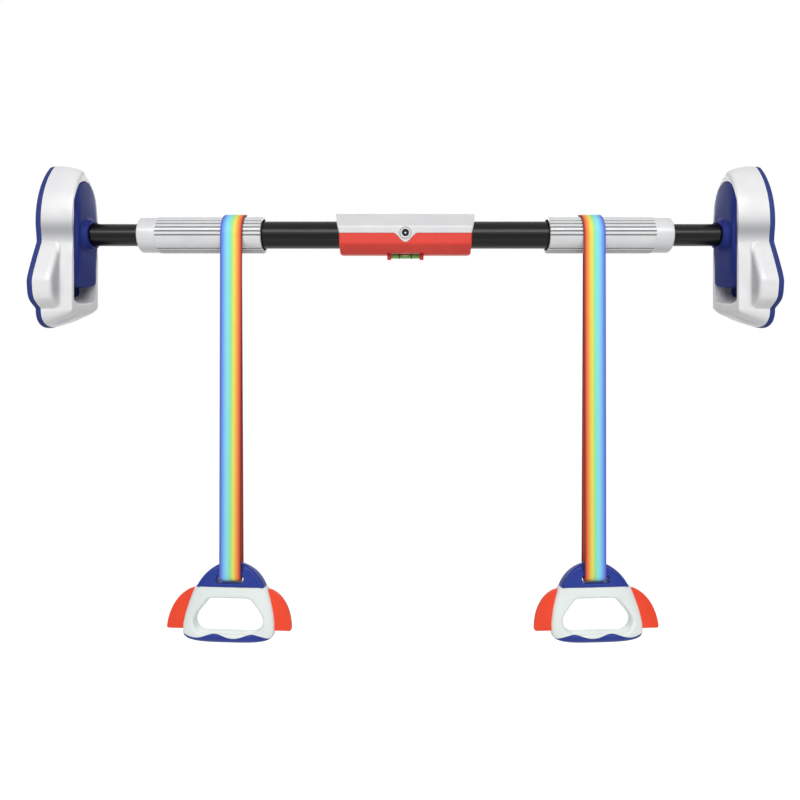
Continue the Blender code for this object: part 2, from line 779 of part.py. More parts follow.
def foot_pad(name, parent, finish):
    """The soft pad against the wall, its outline the foot's own, with tread slots."""
    rings = [
        foot_section(0.0, PAD_EDGE),
        foot_section(PAD_EDGE),
        foot_section(PAD_THICKNESS),
    ]
    pad = solid(name, loft(rings), finish, parent)
    slots = []
    outline = foot_section(0.0)
    for side in (1, -1):
        for i in range(TREAD_COUNT):
            level = side * (2 + i) * TREAD_PITCH
            level -= TREAD_PITCH / 2 * (side < 0)
            near = min(outline, key=lambda point: abs(point.z - level) - (point.y > 0))
            reach = min(near.y, DOME_HALF_WIDTH) - TREAD_MARGIN
            low = (-TREAD_DEPTH, -reach, level - TREAD_HEIGHT / 2)
            high = (TREAD_DEPTH, reach, level + TREAD_HEIGHT / 2)
            slots.append(block(low, high))
    cut(pad, joined(*slots), "tread")


def floor_depth(level):
    """Depth of the ramp's surface from the wall at a level."""
    return RAMP_HIGH_DEPTH - (level - RAMP_HIGH_LEVEL) * math.tan(RAMP_ANGLE)


def pocket_width(depth):
    """Half the pocket's width at a depth: it narrows toward the face and holds the plate."""
    return POCKET_HALF_WIDTH + (FUSELAGE_DEPTH - depth) * POCKET_UNDERCUT


def arch_half(half_width, clearance, steps=6):
    """Half the arched top of the pocket or the plate."""
    base = POCKET_TOP - POCKET_ARCH
    points = []
    for i in range(steps + 1):
        angle = math.pi / 2 * (1 - i / steps)
        level = base + (POCKET_ARCH - clearance) * math.sin(angle)
        points.append((level, half_width * math.cos(angle)))
    return points


def pocket_outline(half_width, depth, clearance=0.0, steps=4):
    """The pocket's outline at a depth as (level, width) points, its end wall sloping."""
    half = arch_half(half_width, clearance)
    low = POCKET_BOTTOM + POCKET_END_ROUND + (FUSELAGE_DEPTH - depth) * POCKET_END_SLOPE
    for i in range(steps + 1):
        angle = math.pi / 2 * i / steps
        level = low - (POCKET_END_ROUND - clearance) * math.sin(angle)
        half.append((level, half_width * math.cos(angle) ** 0.5))
    half[0], half[-1] = (half[0][0], 0.0), (half[-1][0], 0.0)
    return both_sides(half)


def plate_outline(half_width):
    """The hub plate's outline: the same arch, and a blunt point at its lower end."""
    half = arch_half(half_width, PLATE_CLEARANCE)
    half += [
        (PLATE_BOTTOM + PLATE_CORNER, half_width),
        (PLATE_BOTTOM + PLATE_CORNER / 2, half_width - PLATE_CORNER),
        (PLATE_BOTTOM + PLATE_CORNER / 4, half_width / 2),
        (PLATE_BOTTOM, 0.0),
    ]
    half[0] = (half[0][0], 0.0)
    return both_sides(half)


def pocket_ring(outline, depth):
    """An outline placed at a depth, or at each level's own depth for a function."""
    where = depth if callable(depth) else lambda level: depth
    return [Vector((where(level), width, level)) for level, width in outline]


def foot_shell(name, parent, finish):
    """The white moulded shell: fins below, fuselage above, an undercut pocket through it."""
    fin_top = FIN_THICKNESS
    rings = [
        foot_section(SHELL_BACK),
        foot_section(FULL_SECTION_DEPTH),
        foot_section(fin_top - FIN_ROUND),
        foot_section(fin_top - 0.4 * FIN_ROUND, fin_inset=0.2 * FIN_ROUND),
        foot_section(fin_top, fin_inset=FIN_ROUND),
        foot_section(fin_top + FIT, fins=False),
    ]
    start = FUSELAGE_DEPTH - FACE_ROUND
    rings.append(foot_section((fin_top + start) / 2, fins=False))
    for share in (0.0, 0.7, 1.0):
        back = 1 - math.sqrt(1 - share**2)
        depth = start + FACE_ROUND * share
        rings.append(foot_section(depth, FACE_EDGE * back, False, 0.0, FACE_ROUND * back))
    shell = solid(name, loft(rings), finish, parent)
    mouth = foot_section(SHELL_BACK, SHELL_WALL)
    outside = [point - Vector((SHELL_WALL, 0, 0)) for point in mouth]
    cut(shell, loft([outside, mouth, foot_section(CAVITY_TOP, SHELL_WALL)]), "cavity")
    ends = (SHELL_BACK - SHELL_WALL, FUSELAGE_DEPTH + SHELL_WALL)
    pocket = [pocket_ring(pocket_outline(pocket_width(depth), depth), depth) for depth in ends]
    cut(shell, loft(pocket), "pocket")
    holes = []
    for level in FOOT_SCREW_LEVELS:
        reach = SHELL_BACK + FOOT_SCREW_SEAT + FIT + FOOT_SCREW_LENGTH
        bore = FOOT_SCREW_RADIUS + FIT
        hole = turned([(SHELL_BACK, bore), (reach, bore)], SMALL_ROUND // 2)
        holes.append(moved(hole, (0, 0, level)))
    cut(shell, joined(*holes), "screw_holes")


def foot_base(name, parent, finish):
    """The blue base inside the shell, with the ramp that floors the pocket."""
    inset = SHELL_WALL + FIT
    plate = [foot_section(SHELL_BACK, inset), foot_section(BASE_TOP, inset)]
    base = solid(name, loft(plate), finish, parent)
    width = pocket_width(RAMP_HIGH_DEPTH) - FIT
    middle = (SHELL_BACK + BASE_TOP) / 2
    foot = pocket_ring(pocket_outline(width, middle, 2 * FIT), middle)
    floor = pocket_ring(pocket_outline(width, RAMP_HIGH_DEPTH, 2 * FIT), floor_depth)
    join(base, loft([foot, floor]), "ramp")
    holes = []
    seat = SHELL_BACK + FOOT_SCREW_SEAT
    for level in FOOT_SCREW_LEVELS:
        profile = [
            (SHELL_BACK - FOOT_SCREW_SEAT, FOOT_SCREW_HEAD_RADIUS + FIT),
            (seat, FOOT_SCREW_HEAD_RADIUS + FIT),
            (seat, FOOT_SCREW_RADIUS + FIT),
            (BASE_TOP + BASE_THICKNESS, FOOT_SCREW_RADIUS + FIT),
        ]
        holes.append(moved(turned(profile, SMALL_ROUND // 2), (0, 0, level)))
    cut(base, joined(*holes), "screw_holes")


def foot_screws(side_name, parent, finish):
    """The two screws from the base into the shell, hidden by the pad."""
    seat = SHELL_BACK + FOOT_SCREW_SEAT
    for level, place in zip(FOOT_SCREW_LEVELS, ("upper", "lower")):
        profile = [
            (seat - FIT - FOOT_SCREW_HEAD_HEIGHT, FOOT_SCREW_HEAD_RADIUS),
            (seat - FIT, FOOT_SCREW_HEAD_RADIUS),
            (seat - FIT, FOOT_SCREW_RADIUS),
            (seat - FIT + FOOT_SCREW_LENGTH, FOOT_SCREW_RADIUS),
        ]
        name = f"{side_name}_foot_screw_{place}"
        screw = solid(name, turned(profile, SMALL_ROUND // 2), finish, parent)
        screw.location = (0, 0, level)


def hub_plate(name, parent, finish):
    """The blue plate that slides in the pocket, crowned, with the collar of the tube."""
    edge = PLATE_EDGE_DEPTH
    centre = (POCKET_TOP + PLATE_BOTTOM) / 2
    half_height = (POCKET_TOP - PLATE_BOTTOM) / 2

    def back_depth(level):
        return floor_depth(level) + FIT

    def back_ring():
        outline = plate_outline(pocket_width(back_depth(0)) - PLATE_CLEARANCE)
        return pocket_ring(outline, back_depth)

    def crown_ring(share):
        width = pocket_width(edge) - PLATE_CLEARANCE
        inset = PLATE_CROWN * 4 * share
        outline = [
            (centre + (level - centre) * (1 - inset / half_height), y * (1 - inset / width))
            for level, y in plate_outline(width)
        ]
        rise = PLATE_CROWN * (1 - (1 - share) ** 2)
        return pocket_ring(outline, edge + rise)

    rings = [back_ring()] + [crown_ring(share) for share in (0.0, 0.07, 0.35, 1.0)]
    plate = solid(name, loft(rings), finish, parent)
    face = edge + PLATE_CROWN
    fillet = [
        (
            face + COLLAR_FILLET * (1 - math.cos(angle)) - FIT,
            COLLAR_RADIUS + COLLAR_FILLET * (1 - math.sin(angle)),
        )
        for angle in (0.0, math.pi / 4, math.pi / 2)
    ]
    collar = [
        (edge - COLLAR_FILLET, fillet[0][1]),
        *fillet,
        (COLLAR_DEPTH - 2 * FIT, (COLLAR_RADIUS + COLLAR_LIP_RADIUS) / 2),
        (COLLAR_DEPTH, COLLAR_LIP_RADIUS),
    ]
    join(plate, turned(collar, 24), "collar")
    back = back_depth(POCKET_BOTTOM)
    bore = INNER_RADIUS + FIT
    passage = HUB_BOLT_RADIUS + FIT
    hole = [
        (back_depth(POCKET_TOP) - FIT, HUB_BOLT_HEAD_RADIUS + 2 * FIT),
        (HUB_SEAT_DEPTH, HUB_BOLT_HEAD_RADIUS + 2 * FIT),
        (HUB_SEAT_DEPTH, passage),
        (HUB_BORE_DEPTH, passage),
        (HUB_BORE_DEPTH, bore),
        (COLLAR_DEPTH + back, bore),
    ]
    cut(plate, turned(hole, 24), "bore")


def hub_bolt(name, parent, finish):
    """The hex bolt that draws the inner tube's plug against the hub plate."""
    seat = HUB_SEAT_DEPTH - FIT
    tip = HUB_TUBE_DEPTH + HUB_BOLT_GRIP
    head = turned([(seat - HUB_BOLT_HEAD_HEIGHT, HUB_BOLT_HEAD_RADIUS), (seat, HUB_BOLT_HEAD_RADIUS)], 6)
    bolt = solid(name, head, finish, parent)
    shank = turned([(seat - FIT, HUB_BOLT_RADIUS), (tip, HUB_BOLT_RADIUS)], SMALL_ROUND)
    join(bolt, shank, "shank")


def strap_outline(offset):
    """The strap's path seen along X: round the grip above, round the bridge below."""
    top, low = STRAP_TOP_RADIUS + offset, STRAP_PIVOT_RADIUS + offset
    lean = math.asin((top - low) / PIVOT_DROP)
    points = []
    for centre, radius, start, end, steps in (
        (0.0, top, -lean, math.pi + lean, STRAP_TOP_STEPS),
        (-PIVOT_DROP, low, math.pi + lean, 2 * math.pi - lean, 8),
    ):
        for i in range(steps + 1):
            angle = start + (end - start) * i / steps
            points.append((radius * math.cos(angle), centre + radius * math.sin(angle)))
    return points


def strap_shifts(count):
    """How far outboard the strap lies at each point: a smooth step from front to back."""
    shifts = []
    for i in range(STRAP_TOP_STEPS + 1):
        share = (1 - i / STRAP_TOP_STEPS) ** 1.6
        ease = share**2 * (3 - 2 * share)
        shifts.append(STRAP_FRONT_SHIFT + (STRAP_BACK_SHIFT - STRAP_FRONT_SHIFT) * ease)
    return shifts + [0.0] * (count - len(shifts))


def strap(name, side, parent, finish):
    """The endless webbing loop that hangs the handle from the grip."""
    half = STRAP_WIDTH / 2
    inner, outer = strap_outline(0.0), strap_outline(STRAP_THICKNESS)
    shifts = strap_shifts(len(inner))
    rings = [
        [Vector((edge + side * x, y, z)) for x, (y, z) in zip(shifts, outline)]
        for edge, outline in ((-half, inner), (-half, outer), (half, outer), (half, inner))
    ]
    solid(name, loft(rings, looped=True), finish, parent)


def dome_thickness(level):
    """Half the dome's thickness: thin at the nose, so the handle can tilt in its strap."""
    nose = DOME_ARC_CENTRE + DOME_ARC_RADIUS
    half_pivot = DOME_PIVOT_THICKNESS / 2
    if level > 0:
        return half_pivot - (half_pivot - DOME_NOSE_THICKNESS / 2) * level / nose
    return half_pivot + (DOME_BASE_THICKNESS / 2 - half_pivot) * level / DOME_BASE


def handle_dome(name, parent, finish):
    """The blue nose with a raised rim along its arc and the slot for the strap."""
    steps = 7
    first = math.asin((DOME_BASE - DOME_ARC_CENTRE) / DOME_ARC_RADIUS)
    last = math.radians(84)
    rings = []
    for i in range(steps + 1):
        angle = first + (last - first) * i / steps
        level = DOME_ARC_CENTRE + DOME_ARC_RADIUS * math.sin(angle)
        half = DOME_ARC_RADIUS * math.cos(angle)
        thick = dome_thickness(level)
        rim = min(DOME_RIM_WIDTH, half / 2)
        rise = DOME_RIM_RISE * min(1.0, (half / DOME_ARC_RADIUS * 1.6) ** 2) * (level < 0)
        quarter = [
            (half, 0.35 * thick),
            (half - 0.3 * rim, 0.85 * thick + 0.5 * rise),
            (half - 0.7 * rim, thick + rise),
            (half - rim, thick),
            (half / 2, thick),
        ]
        right = quarter + [(0.0, thick)] + [(-x, y) for x, y in reversed(quarter)]
        outline = right + [(x, -y) for x, y in reversed(right)]
        rings.append([Vector((x, y, level)) for x, y in outline])
    dome = solid(name, loft(rings), finish, parent)
    reach = DOME_BASE_THICKNESS
    arc = [
        (BRIDGE_RADIUS * math.cos(angle), BRIDGE_RADIUS * math.sin(angle))
        for angle in (math.pi * (1 + i / 8) for i in range(9))
    ]
    section = [(-reach, 0.0), *arc, (reach, 0.0), (reach, SLOT_BOTTOM), (-reach, SLOT_BOTTOM)]
    ends = (-SLOT_HALF_WIDTH, SLOT_HALF_WIDTH)
    cut(dome, loft([[Vector((x, y, z)) for y, z in section] for x in ends]), "slot")


def body_half_width(level):
    """Half the handle body's width at a level."""
    top = DOME_BASE - FIT
    if level > BODY_WIDEST:
        share = (level - BODY_WIDEST) / (top - BODY_WIDEST)
        return BODY_HALF_WIDTH - (BODY_HALF_WIDTH - BODY_TOP_HALF_WIDTH) * share**1.45
    low = BODY_WIDEST + (BODY_BOTTOM - BODY_WIDEST) * 0.15
    if level > low:
        return BODY_HALF_WIDTH
    share = min(1.0, (low - level) / (low - BODY_BOTTOM))
    return BODY_HALF_WIDTH * (1 - share**4) ** (1 / 3)


def body_half_thickness(level):
    """Half the handle body's thickness at a level."""
    top = DOME_BASE - FIT
    full = BODY_THICKNESS / 2
    if level > BODY_WIDEST:
        share = (level - BODY_WIDEST) / (top - BODY_WIDEST)
        return full - (full - BODY_TOP_THICKNESS / 2) * share**1.5
    share = min(1.0, (BODY_WIDEST - level) / (BODY_WIDEST - BODY_BOTTOM))
    return full * (1 - share**3.5) ** (1 / 2.2)


def handle_blank():
    """The handle body and base before they are split: a rounded, flattened flask."""
    top = DOME_BASE - FIT
    shares = (0.0, 0.3, 0.6, 0.78, 0.9, 0.965, 0.995)
    count = 24
    rings = []
    for share in shares:
        level = top + (BODY_BOTTOM - top) * share
        inset = FIT * (share == 0.0)
        half = body_half_width(level) - 2 * inset
        thick = body_half_thickness(level) - 2 * inset
        points = []
        for i in range(count):
            angle = 2 * math.pi * (i + 0.5) / count
            x = half * math.copysign(abs(math.cos(angle)) ** 0.6, math.cos(angle))
            y = thick * math.copysign(abs(math.sin(angle)) ** 0.6, math.sin(angle))
            points.append(Vector((x, y, level)))
        rings.append(points)
    return loft(rings)


def opening_outline(grow):
    """The hand opening's outline, a rounded trapezoid, grown outward."""
    upper = (OPENING_TOP + OPENING_WIDEST) / 2
    lower = (OPENING_BOTTOM + OPENING_WIDEST) / 2
    half = curve_through(
        [
            (OPENING_TOP + grow, 0.0),
            (OPENING_TOP + grow, OPENING_TOP_HALF - OPENING_CORNER),
            (OPENING_TOP - OPENING_CORNER / 3 + 0.7 * grow, OPENING_TOP_HALF + 0.7 * grow),
            (upper, (OPENING_TOP_HALF + 2 * OPENING_HALF_WIDTH) / 3 + 0.9 * grow),
            (OPENING_WIDEST, OPENING_HALF_WIDTH + grow),
            (lower, (OPENING_BOTTOM_HALF + 4 * OPENING_HALF_WIDTH) / 5 + 0.9 * grow),
            (OPENING_BOTTOM + OPENING_CORNER / 2.5 - 0.7 * grow, OPENING_BOTTOM_HALF + 0.7 * grow),
            (OPENING_BOTTOM - grow, OPENING_BOTTOM_HALF - OPENING_CORNER),
            (OPENING_BOTTOM - grow, 0.0),
        ],
        2,
    )
    return [(width, level) for level, width in both_sides(half)]


def opening_cutter():
    """The hand opening, flared toward the front and the back so its edge is round."""
    half = BODY_THICKNESS / 2
    flare = OPENING_ROUND
    stations = []
    for side in (-1, 1):
        row = [
            (side * (half + flare), 1.4),
            (side * (half - 0.3 * flare), 0.6),
            (side * (half - 1.5 * flare), 0.0),
        ]
        stations += row if side < 0 else list(reversed(row))
    rings = []
    for y, share in stations:
        outline = opening_outline(share * flare)
        rings.append([Vector((x, y, z)) for x, z in outline])
    return loft(rings)


def wave(side, level_shift=0.0, steps=24):
    """The wavy seam between body and base, from -X to +X, with a crest outboard of the middle."""
    reach = BODY_HALF_WIDTH + OPENING_ROUND
    points = []
    for i in range(steps + 1):
        x = reach * (2 * i / steps - 1)
        rise = WAVE_HEIGHT * math.cos(2 * math.pi * (side * x - WAVE_CREST_OFFSET) / WAVE_LENGTH)
        points.append((x, WAVE_LEVEL + rise + level_shift))
    return points


def wing_outline(side, grow=0.0):
    """A swept fin: an elliptic leading edge, a flat foot and a tongue in the body."""
    cx, cz = WING_CENTRE
    ax, az = WING_RADII
    steps = 10
    first, last = math.radians(80), math.radians(3)
    points = []
    for i in range(steps + 1):
        angle = first + (last - first) * i / steps
        points.append((cx + (ax + grow) * math.cos(angle), cz + (az + grow) * math.sin(angle)))
    corner = 0.0025
    outer = points[-1][0]
    points[-1] = (outer, WING_BOTTOM - grow + corner)
    points.append((outer - 0.3 * corner, WING_BOTTOM - grow + 0.3 * corner))
    points.append((outer - corner, WING_BOTTOM - grow))
    for share in (0.0, 0.35, 0.7, 1.0):
        level = WING_BOTTOM - grow + (points[0][1] - WING_BOTTOM + grow) * share
        points.append((body_half_width(level) - WING_TONGUE - grow, level))
    return [(side * x, z) for x, z in points]


def handle(side_name, side, parent, finishes):
    """The rocket handle: nose, body, wavy base and two fins."""
    blue, white, orange = finishes
    handle_dome(f"{side_name}_handle_dome", parent, blue)
    body = solid(f"{side_name}_handle_body", handle_blank(), white, parent)
    reach = 2 * BODY_THICKNESS
    wide = BODY_HALF_WIDTH + OPENING_ROUND
    upper = [*wave(side), (wide, -DOME_BASE), (-wide, -DOME_BASE)]
    keep(body, prism(upper, -reach, reach), "upper_region")
    cut(body, opening_cutter(), "opening")
    half = WING_THICKNESS / 2
    for place, way in (("outer", side), ("inner", -side)):
        slot = prism(wing_outline(way, FIT), -half - FIT, half + FIT)
        cut(body, slot, f"{place}_fin_slot")
        fin = prism(wing_outline(way), -half, half)
        solid(f"{side_name}_fin_{place}", fin, orange, parent)
    base = solid(f"{side_name}_handle_base", handle_blank(), blue, parent)
    low = 2 * BODY_BOTTOM
    lower = [*wave(side, -FIT), (wide, low), (-wide, low)]
    keep(base, prism(lower, -reach, reach), "lower_region")


def build():
    """Builds the whole part."""
    for old in list(bpy.data.objects):
        bpy.data.objects.remove(old, do_unlink=True)
    pearl = material("pearl_white_plastic", (0.78, 0.78, 0.79), 0.28)
    red = material("red_plastic", (0.72, 0.06, 0.04), 0.35)
    royal = material("royal_blue_plastic", (0.025, 0.04, 0.17), 0.35)
    rubber = material("royal_blue_rubber", (0.03, 0.045, 0.2), 0.6)
    black = material("black_gloss_steel", (0.01, 0.01, 0.011), 0.2, 0.3)
    steel = material("zinc_steel", (0.55, 0.56, 0.58), 0.35, 1.0)
    nylon = material("natural_nylon", (0.7, 0.69, 0.64), 0.5)
    glass = material("clear_acrylic", (0.75, 0.85, 0.7), 0.05)
    fluid = material("green_level_fluid", (0.2, 0.55, 0.08), 0.1)
    webbing = material("rainbow_webbing", (0.25, 0.65, 0.75), 0.7)
    blue = material("handle_blue_plastic", (0.035, 0.07, 0.3), 0.4)
    white = material("handle_white_plastic", (0.8, 0.86, 0.83), 0.4)
    orange = material("fin_orange_plastic", (0.9, 0.09, 0.03), 0.45)
    main_tubes(black)
    coupling_sleeve(steel)
    cover_top(pearl)
    cover_bottom(red)
    lock_screws(steel)
    level_vial(glass, fluid)
    for side, side_name in ((LEFT, "left"), (RIGHT, "right")):
        grip(f"{side_name}_grip", side, pearl)
        drive_nut(f"{side_name}_drive_nut", side, steel)
        guide_bush(f"{side_name}_guide_bush", side, nylon)
        foot = frame(f"{side_name}_foot_frame", (side * HALF_SPAN, 0, 0), turned=side == RIGHT)
        inner_tube_pieces(side_name, foot, black, nylon)
        hub_plate(f"{side_name}_hub_plate", foot, royal)
        hub_bolt(f"{side_name}_hub_bolt", foot, steel)
        foot_pad(f"{side_name}_pad", foot, rubber)
        foot_base(f"{side_name}_foot_base", foot, royal)
        foot_shell(f"{side_name}_foot_shell", foot, pearl)
        foot_screws(side_name, foot, steel)
        offset = LEFT_STRAP_OFFSET if side == LEFT else RIGHT_STRAP_OFFSET
        hang = frame(f"{side_name}_strap_frame", (side * offset, 0, 0))
        strap(f"{side_name}_strap", side, hang, webbing)
        pivot = frame(f"{side_name}_handle_frame", (side * offset, 0, -PIVOT_DROP))
        pivot.rotation_euler.x = -HANDLE_LEAN
        handle(side_name, side, pivot, (blue, white, orange))


build()
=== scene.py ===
"""Looks of a doorway pull-up bar with two hanging rocket handles.

The bar lies along X with its centre at the origin, seen from -Y, +Z up. Each side is
worked out once, in distances from the middle or from the wall, and set on its side by
the sign of X.
"""

import logging
import math
from dataclasses import dataclass
from enum import Enum
from typing import Callable

import bmesh
import bpy
import numpy as np
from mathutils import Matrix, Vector


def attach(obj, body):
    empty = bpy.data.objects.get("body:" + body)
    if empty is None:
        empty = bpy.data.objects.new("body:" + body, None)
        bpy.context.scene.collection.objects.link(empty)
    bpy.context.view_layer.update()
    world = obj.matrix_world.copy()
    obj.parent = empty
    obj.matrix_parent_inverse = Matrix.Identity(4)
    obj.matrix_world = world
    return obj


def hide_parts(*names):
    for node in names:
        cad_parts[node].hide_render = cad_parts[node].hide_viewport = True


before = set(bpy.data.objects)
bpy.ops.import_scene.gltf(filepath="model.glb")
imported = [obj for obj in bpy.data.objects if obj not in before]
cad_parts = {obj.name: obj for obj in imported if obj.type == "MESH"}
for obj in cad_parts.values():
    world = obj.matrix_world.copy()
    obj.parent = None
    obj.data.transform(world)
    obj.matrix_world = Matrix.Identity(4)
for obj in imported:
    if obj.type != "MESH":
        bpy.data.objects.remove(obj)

Array = np.ndarray
Triple = tuple[float, float, float]
Socket = bpy.types.NodeSocket
LOG = logging.getLogger("pull_up_bar")
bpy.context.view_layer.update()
FIT = 0.0003
HALF_SPAN = 0.413
MOULDED_CREASE = 38.0
TURN = 2 * math.pi
OTHER_WAY = np.array([-1.0, 1.0])
TO_BACK = np.array([1.0, -1.0, 1.0])


class Side(Enum):
    """The two halves of the bar, as the sign of X."""

    LEFT = -1
    RIGHT = 1

    @property
    def word(self) -> str:
        """The side's name as the solids use it."""
        return self.name.lower()

    def named(self, part: str) -> str:
        """The name of this side's part."""
        return f"{self.word}_{part}"

    def along(self, points: Array) -> Array:
        """Sets points given from the middle outward on this side."""
        return points * np.array([self.value, 1.0, 1.0])

    def from_wall(self, points: Array) -> Array:
        """Sets points given from the wall inward on this side."""
        return self.along(np.array([HALF_SPAN, 0.0, 0.0]) + points * np.array([-1.0, 1.0, 1.0]))


class Half(Enum):
    """The upper and the lower half of the cover or of a handle, as the sign of Z."""

    UPPER = 1
    LOWER = -1


class Face(Enum):
    """The front and the back of the cover, as the sign of -Y."""

    FRONT = 1
    BACK = -1


class Wing(Enum):
    """The wings of a handle, as the sign of the way outward."""

    OUTER = 1
    INNER = -1


class Keep(Enum):
    """What combining keeps of an object, by Blender's word for it."""

    OUTSIDE = "DIFFERENCE"
    INSIDE = "INTERSECT"


# Surfaces


def points_of(*coordinates: Array | float) -> Array:
    """Points from their coordinates, each stretched to fit the others."""
    return np.stack(np.broadcast_arrays(*coordinates), axis=-1)


def quarter(count: int) -> Array:
    """Angles over a quarter turn, both ends included."""
    return np.linspace(0, np.pi / 2, count)


def unit(value: Array) -> Array:
    """A value kept from 0 to 1."""
    return np.clip(value, 0, 1)


def rounded(share: Array, power: float, root: float) -> Array:
    """A superellipse: 1 where the share is 0, falling to 0 where it is 1."""
    return unit(1 - share**power) ** root


def smooth_through(points: Array, steps: int) -> Array:
    """A smooth curve through a few points.

    Each span blends its four nearest points by cubic weights of the share along it.

    Args:
        points: The points to pass through, one in each row.
        steps: The number of new points in each span.

    Returns:
        The points of the curve, both ends included.
    """
    wide = np.vstack([points[:1], points, points[-1:]])
    t = np.linspace(0, 1, steps, endpoint=False)[None, :, None]
    a, b, c, d = (wide[i : len(wide) - 3 + i, None, :] for i in range(4))
    curve = 2 * b + (c - a) * t + (2 * a - 5 * b + 4 * c - d) * t**2
    curve = 0.5 * (curve + (3 * b - a - 3 * c + d) * t**3)
    return np.vstack([curve.reshape(-1, points.shape[1]), points[-1:]])


def even(points: Array, count: int, closed: bool = True) -> Array:
    """Points at even distances along a line.

    The distance walked so far is worked out at every corner, and each coordinate is
    read off against it at equal steps.

    Args:
        points: The line's corners, one in each row.
        count: How many points to return.
        closed: Whether the line returns to its first corner.

    Returns:
        The evenly spaced points, without a repeated first one when closed.
    """
    line = np.vstack([points, points[:1]]) if closed else points
    walked = np.concatenate([[0.0], np.cumsum(np.linalg.norm(np.diff(line, axis=0), axis=1))])
    stops = np.linspace(0, walked[-1], count, endpoint=not closed)
    return np.stack([np.interp(stops, walked, column) for column in line.T], axis=1)


def whole(half: Array) -> Array:
    """The full outline, (width, level) all round, from its half given as (level, width)."""
    right = half[:, ::-1]
    return np.vstack([right, right[-2:0:-1] * OTHER_WAY])


def spread(half: Array, count: int) -> Array:
    """Spreads a half outline's points evenly and closes it to a loop of a set count.

    Args:
        half: The half outline from its top to its bottom.
        count: The points all round.

    Returns:
        The outline all round as (width, level).
    """
    half = even(half, count // 2 + 1, closed=False)
    half[0, 1] = half[-1, 1] = 0.0
    return whole(half)


def grid_faces(rows: int, columns: int, closed: bool) -> Array:
    """The quads between neighbouring points of a grid of rings, which may close on its first ring.

    Args:
        rows: How many rings there are.
        columns: How many points each ring has.
        closed: Whether the last ring joins the first.

    Returns:
        Four point numbers for each face.
    """
    row = np.arange(rows if closed else rows - 1)[:, None]
    column = np.arange(columns)[None, :]
    up, across = (row + 1) % rows, (column + 1) % columns
    return points_of(row * columns + column, row * columns + across,
                     up * columns + across, up * columns + column).reshape(-1, 4)


def settle(mesh: bpy.types.Mesh, crease: float) -> None:
    """Merges a mesh's coinciding points, turns its faces outward and sets its creases.

    Args:
        mesh: The mesh to settle.
        crease: The angle in degrees past which an edge stays sharp.
    """
    bm = bmesh.new()
    bm.from_mesh(mesh)
    bmesh.ops.remove_doubles(bm, verts=bm.verts, dist=1e-6)
    bmesh.ops.dissolve_degenerate(bm, edges=bm.edges, dist=1e-7)
    bmesh.ops.recalc_face_normals(bm, faces=bm.faces)
    bm.to_mesh(mesh)
    bm.free()
    mesh.shade_smooth()
    mesh.set_sharp_from_angle(angle=math.radians(crease))


def make(name: str, points: Array, faces: list, crease: float = 32.0, tone: Array | None = None,
         cloth: Array | None = None) -> bpy.types.Object:
    """Makes an object from points and faces.

    Args:
        name: The new object's name.
        points: The points in metres, one in each row.
        faces: The faces, each a list of point numbers.
        crease: The angle in degrees past which an edge stays sharp.
        tone: How much painted shade each point takes, from 0 to 1, kept as the tone attribute.
        cloth: The cloth coordinates of each face's corners, kept as a UV map.

    Returns:
        The new object, linked to the scene.
    """
    mesh = bpy.data.meshes.new(name)
    mesh.from_pydata(points.tolist(), [], faces)
    # Painted shade for each point is kept as an attribute for the material to read.
    if tone is not None:
        layer = mesh.attributes.new("tone", "FLOAT", "POINT")
        layer.data.foreach_set("value", tone.astype(np.float32).ravel())
    if cloth is not None:
        mesh.uv_layers.new(name="cloth").data.foreach_set("uv", cloth.astype(np.float32).ravel())
    settle(mesh, crease)
    obj = bpy.data.objects.new(name, mesh)
    bpy.context.collection.objects.link(obj)
    return obj


def skin(name: str, rings: Array, closed: bool = False, crease: float = 32.0,
         tone: Array | None = None) -> bpy.types.Object:
    """Makes a closed surface over rings of points.

    Args:
        name: The new object's name.
        rings: An array of rows, points in a row, and x, y, z.
        closed: Whether the last row joins the first; otherwise both ends are capped.
        crease: The angle in degrees past which an edge stays sharp.
        tone: How much painted shade each point takes, from 0 to 1.

    Returns:
        The new object.
    """
    rows, count, _ = rings.shape
    faces = grid_faces(rows, count, closed).tolist()
    if not closed:
        faces += [list(range(count)), list(range((rows - 1) * count, rows * count))]
    return make(name, rings.reshape(-1, 3), faces, crease, tone)


def revolved(profile: Array, columns: int = 96) -> Array:
    """Rings of (x, radius) points turned about X: y and z are the radius times the cosine and sine.

    Args:
        profile: The points from one end to the other.
        columns: The points in each ring.

    Returns:
        The rings.
    """
    angle = np.linspace(0, TURN, columns, endpoint=False)
    x, radius = profile[:, :1], profile[:, 1:]
    return points_of(x, radius * np.cos(angle), radius * np.sin(angle))


def sleeve(start: float, end: float, bore: float, radius: float, edge: float = 0.0) -> Array:
    """The profile of a sleeve along X as (x, radius), its outer edges broken or left square."""
    corners = [(start, radius - edge), (start + edge, radius), (end - edge, radius), (end, radius - edge)]
    return np.array([(start, bore), *(corners if edge else corners[1:3]), (end, bore)])


def rounded_step(start: tuple, corner: tuple, end: tuple, radius: float, steps: int = 5) -> Array:
    """A corner between two straight lines, drawn round as a blend of squares.

    Args:
        start: A point on the line that comes in.
        corner: Where the two lines meet.
        end: A point on the line that goes out.
        radius: How far from the corner the rounding starts.
        steps: The number of spans in the rounding.

    Returns:
        The points of the rounding.
    """
    a, b, c = (np.array(p, dtype=float) for p in (start, corner, end))
    first = b + (a - b) / np.linalg.norm(a - b) * radius
    last = b + (c - b) / np.linalg.norm(c - b) * radius
    t = np.linspace(0, 1, steps + 1)[:, None]
    return first * (1 - t) ** 2 + 2 * b * t * (1 - t) + last * t**2


def shifted(rings: Array, y: float = 0.0, z: float = 0.0) -> Array:
    """The same points moved by a distance."""
    return rings + np.array([0.0, y, z])


